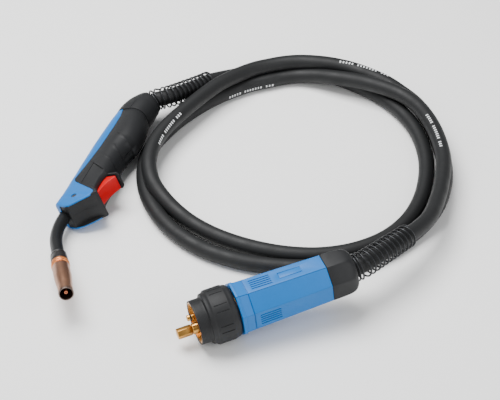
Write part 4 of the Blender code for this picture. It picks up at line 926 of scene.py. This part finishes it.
def build_trigger(s):
    outline = (
        (31.6, -61.2), (32.4, -62.2), (30.0, -65.6), (27.6, -69.5), (25.8, -73.2), (24.5, -77.0),
        (23.5, -81.0), (22.9, -85.0), (22.5, -90.0), (22.2, -94.6), (20.9, -96.0), (14.6, -96.0),
        (11.0, -94.4), (9.6, -91.5), (10.6, -88.0), (14.5, -86.0), (17.0, -82.0), (17.4, -70.6),
        (9.0, -69.9), (9.0, -66.1), (18.0, -65.2), (20.6, -61.2))
    px, py = PIVOT.x / MM, PIVOT.y / MM
    trigger = object_of("trigger_blade", prism([(x - px, y - py) for x, y in outline], -8.2, 8.2))
    for sign in (1.0, -1.0):
        rows = (((22.0, -102.0), (40.0, -102.0)), ((24.0, -76.0), (40.0, -76.0)),
                ((30.2, -56.0), (44.0, -56.0)))
        rings = []
        for (x0, y0), (x1, _) in rows:
            rings.append([((x - px) * MM, (y0 - py) * MM, sign * z * MM)
                          for x, z in ((x0, 8.9), (x0, 12.0), (x1, 12.0), (x1, 4.0))])
        cut(trigger, skin(rings))
    cut(trigger, rod(((1.8, -20.0), (1.8, 20.0)), 32))
    cut(trigger, block(8.0 - px, 16.6 - px, -71.5 - py, -64.5 - py, -12.0, -4.0))
    soften(trigger, 0.55, 3, 30.0)
    trigger.matrix_world = HANDLE @ Matrix.Translation(PIVOT)
    place(trigger, "abs_red_satin", "trigger", "red_plastic", "trigger")


def build_nut(s):
    """Union nut: collar with fine turned lines, wide ring with pairs of grooves, brass lining."""
    outer = [(21.3, 0.0), (22.1, 0.0), (22.4, -0.25), (22.5, -0.7)]
    for k in range(6):
        z = -2.2 - 1.4 * k
        outer += [(22.5, z + 0.35), (22.28, z), (22.5, z - 0.35)]
    outer += [(22.5, -11.0), (22.9, -11.7), (25.0, -12.0), (25.6, -12.6), (25.9, -14.5),
              (26.4, -15.6), (27.3, -16.4), (27.7, -17.2), (27.8, -18.4), (27.8, -33.4),
              (27.6, -34.4), (27.0, -35.2), (26.7, -37.4), (26.3, -38.8), (25.2, -40.2),
              (24.6, -40.7)]
    inner = [(16.2, -40.7), (16.2, -37.0), (19.3, -37.0), (19.3, -14.3), (21.2, -14.3)]
    nut = object_of("union_nut_ring", lathe(outer + inner, 120), None, 40.0)
    grooves = bmesh.new()
    for k in range(8):
        for turn in (-7.5, 7.5):
            way = Matrix.Rotation(math.radians(45.0 * k + 12.0 + turn), 4, "Z")
            groove = object_of("groove", moved(block(27.2, 29.5, -0.45, 0.45, -32.4, -19.4), way))
            grooves.from_mesh(groove.data)
            bpy.data.objects.remove(groove, do_unlink=True)
    cut(nut, grooves)
    soften(nut, 0.25, 2, 45.0)
    nut.matrix_world = PLUG_FRAME
    place(nut, "abs_black_eroded", "nut", "black_plastic", "union_nut")
    wall = []
    z = -0.4
    while z > -13.5:
        wall += [(19.62, z), (20.1, z - 0.5)]
        z -= 1.0
    lining = [(20.9, -14.0), (20.9, -0.4)] + wall + [(19.62, -14.0)]
    insert = object_of("union_nut_lining", lathe(lining, 72), PLUG_FRAME)
    place(insert, "brass_turned", "nut", "brass", "nut_insert")


def build_contacts(s):
    """Brass plug body, its boss, liner nut, gas nipple, seal and pilot pins."""
    stem = ((7.0, -71.0), (8.0, -70.0), (8.0, -48.0), (15.4, -48.0), (15.8, -47.6), (15.8, -36.6),
            (18.7, -36.6), (18.7, -10.2), (18.5, -9.7), (18.2, -9.5), (15.6, -9.5), (15.4, -9.9),
            (14.9, -9.9), (14.7, -9.5))
    body = object_of("plug_body_turned", rod(stem, 72))
    boss = rod(((5.6, -20.0), (5.6, 3.0), (5.4, 3.4), (5.1, 3.6)), 48)
    cut(body, moved(boss, at(0.0, PIN_OFFSET, 0.0)), "UNION")
    cut(body, moved(rod(((4.4, -20.0), (4.4, -4.8), (4.1, -4.5)), 40),
                    at(0.0, NIPPLE_OFFSET, 0.0)), "UNION")
    for side in (1.0, -1.0):
        cut(body, moved(rod(((3.5, -35.0), (3.5, 0.0)), 32), at(side * PILOT_OFFSET, 2.0, 0.0)))
    body.matrix_world = PLUG_FRAME
    place(body, "brass_turned", "torch", "brass", "plug_body")

    sides = rod(((4.9, 3.9), (5.6, 4.5), (5.6, 18.3), (5.0, 19.0)), 6)
    liner = object_of("liner_hexagon", moved(sides, Matrix.Rotation(math.radians(12.0), 4, "Z")))
    cut(liner, rod(((1.4, 0.0), (1.4, 25.0)), 24))
    soften(liner, 0.25, 2, 30.0)
    liner.matrix_world = PLUG_FRAME @ at(0.0, PIN_OFFSET, 0.0)
    place(liner, "brass_drawn", "torch", "brass", "liner_nut")

    nipple = ((1.1, -5.7), (2.8, -5.7), (3.0, -5.5), (3.0, 0.4), (2.2, 0.4), (2.2, 2.4), (3.0, 2.4),
              (3.0, 4.4), (2.8, 5.0), (2.6, 5.2), (1.3, 5.2), (1.1, 5.0))
    where = PLUG_FRAME @ at(0.0, NIPPLE_OFFSET, 1.5)
    place(object_of("gas_nipple_turned", lathe(nipple, 40), where), "brass_turned", "torch",
          "brass", "gas_nipple")
    seal = [(3.2 + 0.68 * math.cos(a), 1.4 + 0.68 * math.sin(a))
            for a in [2.0 * math.pi * k / 16 for k in range(16)]]
    place(object_of("nipple_seal", lathe(seal, 40), where), "nitrile_moulded", "torch", "rubber",
          "nipple_o_ring")
    for tag, side in (("a", 1.0), ("b", -1.0)):
        where = PLUG_FRAME @ at(side * PILOT_OFFSET, 2.0, 0.0)
        sleeve = ((1.9, -8.8), (3.0, -8.8), (3.2, -9.0), (3.2, -34.6), (1.2, -34.6), (1.2, -32.0),
                  (1.9, -32.0))
        place(object_of("pilot_bush_" + tag, lathe(sleeve, 32), where), "phenolic_moulded",
              "torch", "black_plastic", "pilot_sleeve_" + tag)
        pin = rod(((1.2, -28.4), (1.6, -28.0), (1.6, -4.8), (1.45, -4.1), (1.1, -3.6), (0.6, -3.4)),
                  28)
        place(object_of("pilot_contact_" + tag, pin, where), "brass_turned", "pin_" + tag,
              "brass", "pilot_pin_" + tag)


def facet(angle):
    """+Z out of the facet of the housing that faces this way, +X along the plug's nose."""
    a = math.radians(angle)
    out = Vector((math.cos(a), math.sin(a), 0.0))
    return Matrix((UP, out.cross(UP), out)).transposed().to_4x4()


def build_housing(s):
    """Blue housing halves with flange, step line, ribs and panels; screws in the back half."""
    f0, f1 = HOUSING_FLAT
    front, rear = HOUSING_FRONT, HOUSING_REAR

    def flat(z):
        return f0 + (f1 - f0) * (front - z) / (front - rear)

    rings = [octagon(front - back, f0 + out) for back, out in (
        (0.0, 0.3), (0.3, 0.75), (0.8, 0.9), (2.7, 0.9), (3.2, 0.7), (3.5, 0.05))]
    step = front - 12.0
    for z, dip in ((step, 0.0), (step - 0.1, 1.1), (step - 1.1, 1.1), (step - 1.2, 0.0)):
        rings.append(octagon(z, flat(z) - dip))
    rings.append(octagon(rear + 0.4, f1))
    rings.append(octagon(rear, f1 - 0.4))
    shell = object_of("housing_half_front", skin(rings))
    top = front - 5.0
    bottom = rear + 3.0
    cut(shell, skin([octagon(top, flat(top) - 2.6), octagon(bottom, flat(bottom) - 2.6)]))
    cut(shell, rod(((16.1, top - 1.0), (16.1, front + 1.0)), 64))
    cut(shell, rod(((9.4, rear - 1.0), (9.4, bottom + 1.0)), 48))
    across = Matrix.Rotation(HOUSING_SPLIT, 4, "Z")
    for side in (13.4, -13.4):
        where = across @ at(side, 0.0, SCREW_Z)
        flip = where @ Matrix.Rotation(-math.pi / 2.0, 4, "X")
        cut(shell, moved(rod(((3.6, -16.8), (3.6, 16.8)), 32), flip), "UNION")
        cut(shell, moved(rod(((1.8, -40.0), (1.8, 14.0)), 24), flip))
        cut(shell, moved(rod(((3.0, -40.0), (3.0, -14.0)), 32), flip))
    for angle in (90.0, 0.0, 180.0, 270.0):
        z = flat(-67.0)
        for k in range(5):
            y = 2.8 * (k - 2.0)
            groove = block(-82.0, -60.5, y - 0.55, y + 0.55, z - 1.3, z + 2.0)
            cut(shell, moved(groove, facet(angle)))
    for angle in (90.0, 270.0):
        where = facet(angle)
        z = flat(-101.0)
        cut(shell, moved(block(-114.0, -90.0, -4.0, 4.0, z - 0.8, z + 2.0), where))
        cut(shell, moved(block(-113.4, -90.6, -3.4, 3.4, z - 1.6, z - 0.02), where), "UNION")
    twin = twin_of(shell, "housing_half_back")
    near = moved(block(-200.0, 200.0, 0.25, 200.0, -200.0, 200.0), across)
    far = moved(block(-200.0, 200.0, -200.0, -0.25, -200.0, 200.0), across)
    cut(shell, near, "INTERSECT")
    cut(twin, far, "INTERSECT")
    for ob, node in ((shell, "housing_front"), (twin, "housing_back")):
        soften(ob, 0.22, 2, 45.0)
        ob.matrix_world = PLUG_FRAME
        place(ob, "abs_blue_satin", "torch", "blue_plastic", node)
    for tag, side in (("a", 13.4), ("b", -13.4)):
        where = PLUG_FRAME @ across @ at(side, 0.0, SCREW_Z) @ Matrix.Rotation(-math.pi / 2.0, 4, "X")
        head = rod(((1.5, 12.6), (1.5, -14.3), (2.7, -14.3), (2.7, -15.7), (2.4, -16.0),
                    (1.9, -16.2)), 36)
        screw = object_of("housing_screw_head_" + tag, head, where)
        for turn in (0.0, math.pi / 2.0):
            slot = moved(block(-1.6, 1.6, -0.3, 0.3, -17.0, -15.2), Matrix.Rotation(turn, 4, "Z"))
            cut(screw, moved(slot, where))
        place(screw, "steel_oil_blackened", "torch", "dark_steel", "housing_screw_" + tag)


def build_plug_cap(s):
    f1 = HOUSING_FLAT[1]
    front = HOUSING_REAR - 0.3
    rows = ((front, f1 - 0.3, 0.0), (front - 0.3, f1, 0.0), (front - 8.0, f1, 0.02),
            (front - 12.0, f1 - 0.05, 0.05), (front - 16.0, f1 - 0.2, 0.1),
            (front - 19.0, f1 - 0.45, 0.16), (front - 22.0, f1 - 0.9, 0.28),
            (front - 24.5, f1 - 1.6, 0.45), (front - 26.5, f1 - 2.5, 0.7),
            (front - 28.0, 19.4, 0.9), (front - 29.0, 18.2, 1.0), (CAP_REAR, 17.0, 1.0))
    cap = object_of("plug_cap_shell", skin([octagon(z, f, 1.6, soft) for z, f, soft in rows]))
    cut(cap, rod(((9.4, CAP_REAR - 5.0), (9.4, front + 5.0)), 48))
    soften(cap, 0.3, 2, 45.0)
    cap.matrix_world = PLUG_FRAME
    place(cap, "abs_black_eroded", "torch", "black_plastic", "plug_cap")


def build_inside(s):
    """Finishes of the solids that are shown as they are."""
    for mat, names in (
            ("brass_turned", "neck_tube neck_block cover_screw_insert cable_ferrule plug_ferrule"),
            ("rubber_sheath_extruded", "core_hose plug_core_hose switch_lead_a switch_lead_b"),
            ("phenolic_moulded", "switch_body"),
            ("abs_red_satin", "switch_plunger"),
            ("steel_nickel_plated", "trigger_pin")):
        for name in names.split():
            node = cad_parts[name]
            if not node.material_slots:
                node.data.materials.append(MATERIALS[mat])
            for entry in node.material_slots:
                entry.material = MATERIALS[mat]


def declare_cable(s):
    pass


# ---- operators

def done(make, context):
    """Build one piece or group from the settings of the scene."""
    make(context.scene.torch)
    return {"FINISHED"}


class TORCH_OT_stage(bpy.types.Operator):
    """Floor, lights and camera"""

    bl_idname = "torch.stage"
    bl_label = "Stage"

    def execute(self, context):
        return done(build_stage, context)


class TORCH_OT_materials(bpy.types.Operator):
    """Finishes of every piece"""

    bl_idname = "torch.materials"
    bl_label = "Finishes"

    def execute(self, context):
        return done(make_materials, context)


class TORCH_OT_cable(bpy.types.Operator):
    """Cable sheath on its route"""

    bl_idname = "torch.cable"
    bl_label = "Cable"

    def execute(self, context):
        return done(build_cable, context)


class TORCH_OT_print(bpy.types.Operator):
    """Plain printed dashes on the sheath"""

    bl_idname = "torch.print"
    bl_label = "Sheath marks"

    def execute(self, context):
        return done(build_print, context)


class TORCH_OT_springs(bpy.types.Operator):
    """Bend springs at both ends of the cable"""

    bl_idname = "torch.springs"
    bl_label = "Bend springs"

    def execute(self, context):
        return done(build_springs, context)


class TORCH_OT_neck(bpy.types.Operator):
    """Swan neck, insulator, tip seat, tip and nozzle clip"""

    bl_idname = "torch.neck"
    bl_label = "Swan neck"

    def execute(self, context):
        return done(build_neck, context)


class TORCH_OT_nozzle(bpy.types.Operator):
    """Copper gas nozzle"""

    bl_idname = "torch.nozzle"
    bl_label = "Gas nozzle"

    def execute(self, context):
        return done(build_nozzle, context)


class TORCH_OT_grip(bpy.types.Operator):
    """Black half shells of the handle"""

    bl_idname = "torch.grip"
    bl_label = "Grip"

    def execute(self, context):
        return done(build_grip, context)


class TORCH_OT_cover(bpy.types.Operator):
    """Blue cover halves and their screw"""

    bl_idname = "torch.cover"
    bl_label = "Cover"

    def execute(self, context):
        return done(build_cover, context)


class TORCH_OT_tail(bpy.types.Operator):
    """Tail cap that the cable leaves from"""

    bl_idname = "torch.tail"
    bl_label = "Tail cap"

    def execute(self, context):
        return done(build_tail, context)


class TORCH_OT_trigger(bpy.types.Operator):
    """Red trigger"""

    bl_idname = "torch.trigger"
    bl_label = "Trigger"

    def execute(self, context):
        return done(build_trigger, context)


class TORCH_OT_nut(bpy.types.Operator):
    """Union nut and its brass lining"""

    bl_idname = "torch.nut"
    bl_label = "Union nut"

    def execute(self, context):
        return done(build_nut, context)


class TORCH_OT_contacts(bpy.types.Operator):
    """Brass contacts, gas nipple and pilot pins"""

    bl_idname = "torch.contacts"
    bl_label = "Plug contacts"

    def execute(self, context):
        return done(build_contacts, context)


class TORCH_OT_housing(bpy.types.Operator):
    """Blue plug housing and its screws"""

    bl_idname = "torch.housing"
    bl_label = "Plug housing"

    def execute(self, context):
        return done(build_housing, context)


class TORCH_OT_plug_cap(bpy.types.Operator):
    """Black cap behind the plug housing"""

    bl_idname = "torch.plug_cap"
    bl_label = "Plug cap"

    def execute(self, context):
        return done(build_plug_cap, context)


class TORCH_OT_inside(bpy.types.Operator):
    """Finishes of the pieces inside"""

    bl_idname = "torch.inside"
    bl_label = "Inside pieces"

    def execute(self, context):
        return done(build_inside, context)


class TORCH_OT_declare(bpy.types.Operator):
    bl_idname = "torch.declare"
    bl_label = "Declare cable"

    def execute(self, context):
        return done(declare_cable, context)


STEPS = (
    TORCH_OT_stage, TORCH_OT_materials, TORCH_OT_cable, TORCH_OT_print, TORCH_OT_springs,
    TORCH_OT_neck, TORCH_OT_nozzle, TORCH_OT_grip, TORCH_OT_cover, TORCH_OT_tail,
    TORCH_OT_trigger, TORCH_OT_nut, TORCH_OT_contacts, TORCH_OT_housing, TORCH_OT_plug_cap,
    TORCH_OT_inside, TORCH_OT_declare,
)


class TORCH_PT_panel(bpy.types.Panel):
    """Torch build steps"""

    bl_idname = "TORCH_PT_panel"
    bl_label = "Welding torch"
    bl_space_type = "VIEW_3D"
    bl_region_type = "UI"
    bl_category = "Torch"

    def draw(self, context):
        s = context.scene.torch
        for name in s.bl_rna.properties.keys():
            if name not in ("rna_type", "name"):
                self.layout.prop(s, name)
        for step in STEPS:
            self.layout.operator(step.bl_idname)


CLASSES = (TorchSettings,) + STEPS + (TORCH_PT_panel,)


def register():
    for cls in CLASSES:
        bpy.utils.register_class(cls)
    bpy.types.Scene.torch = bpy.props.PointerProperty(type=TorchSettings)


def unregister():
    del bpy.types.Scene.torch
    for cls in reversed(CLASSES):
        bpy.utils.unregister_class(cls)


def main():
    register()
    for step in STEPS:
        group, name = step.bl_idname.split(".")
        getattr(getattr(bpy.ops, group), name)()


if __name__ == "__main__":
    main()
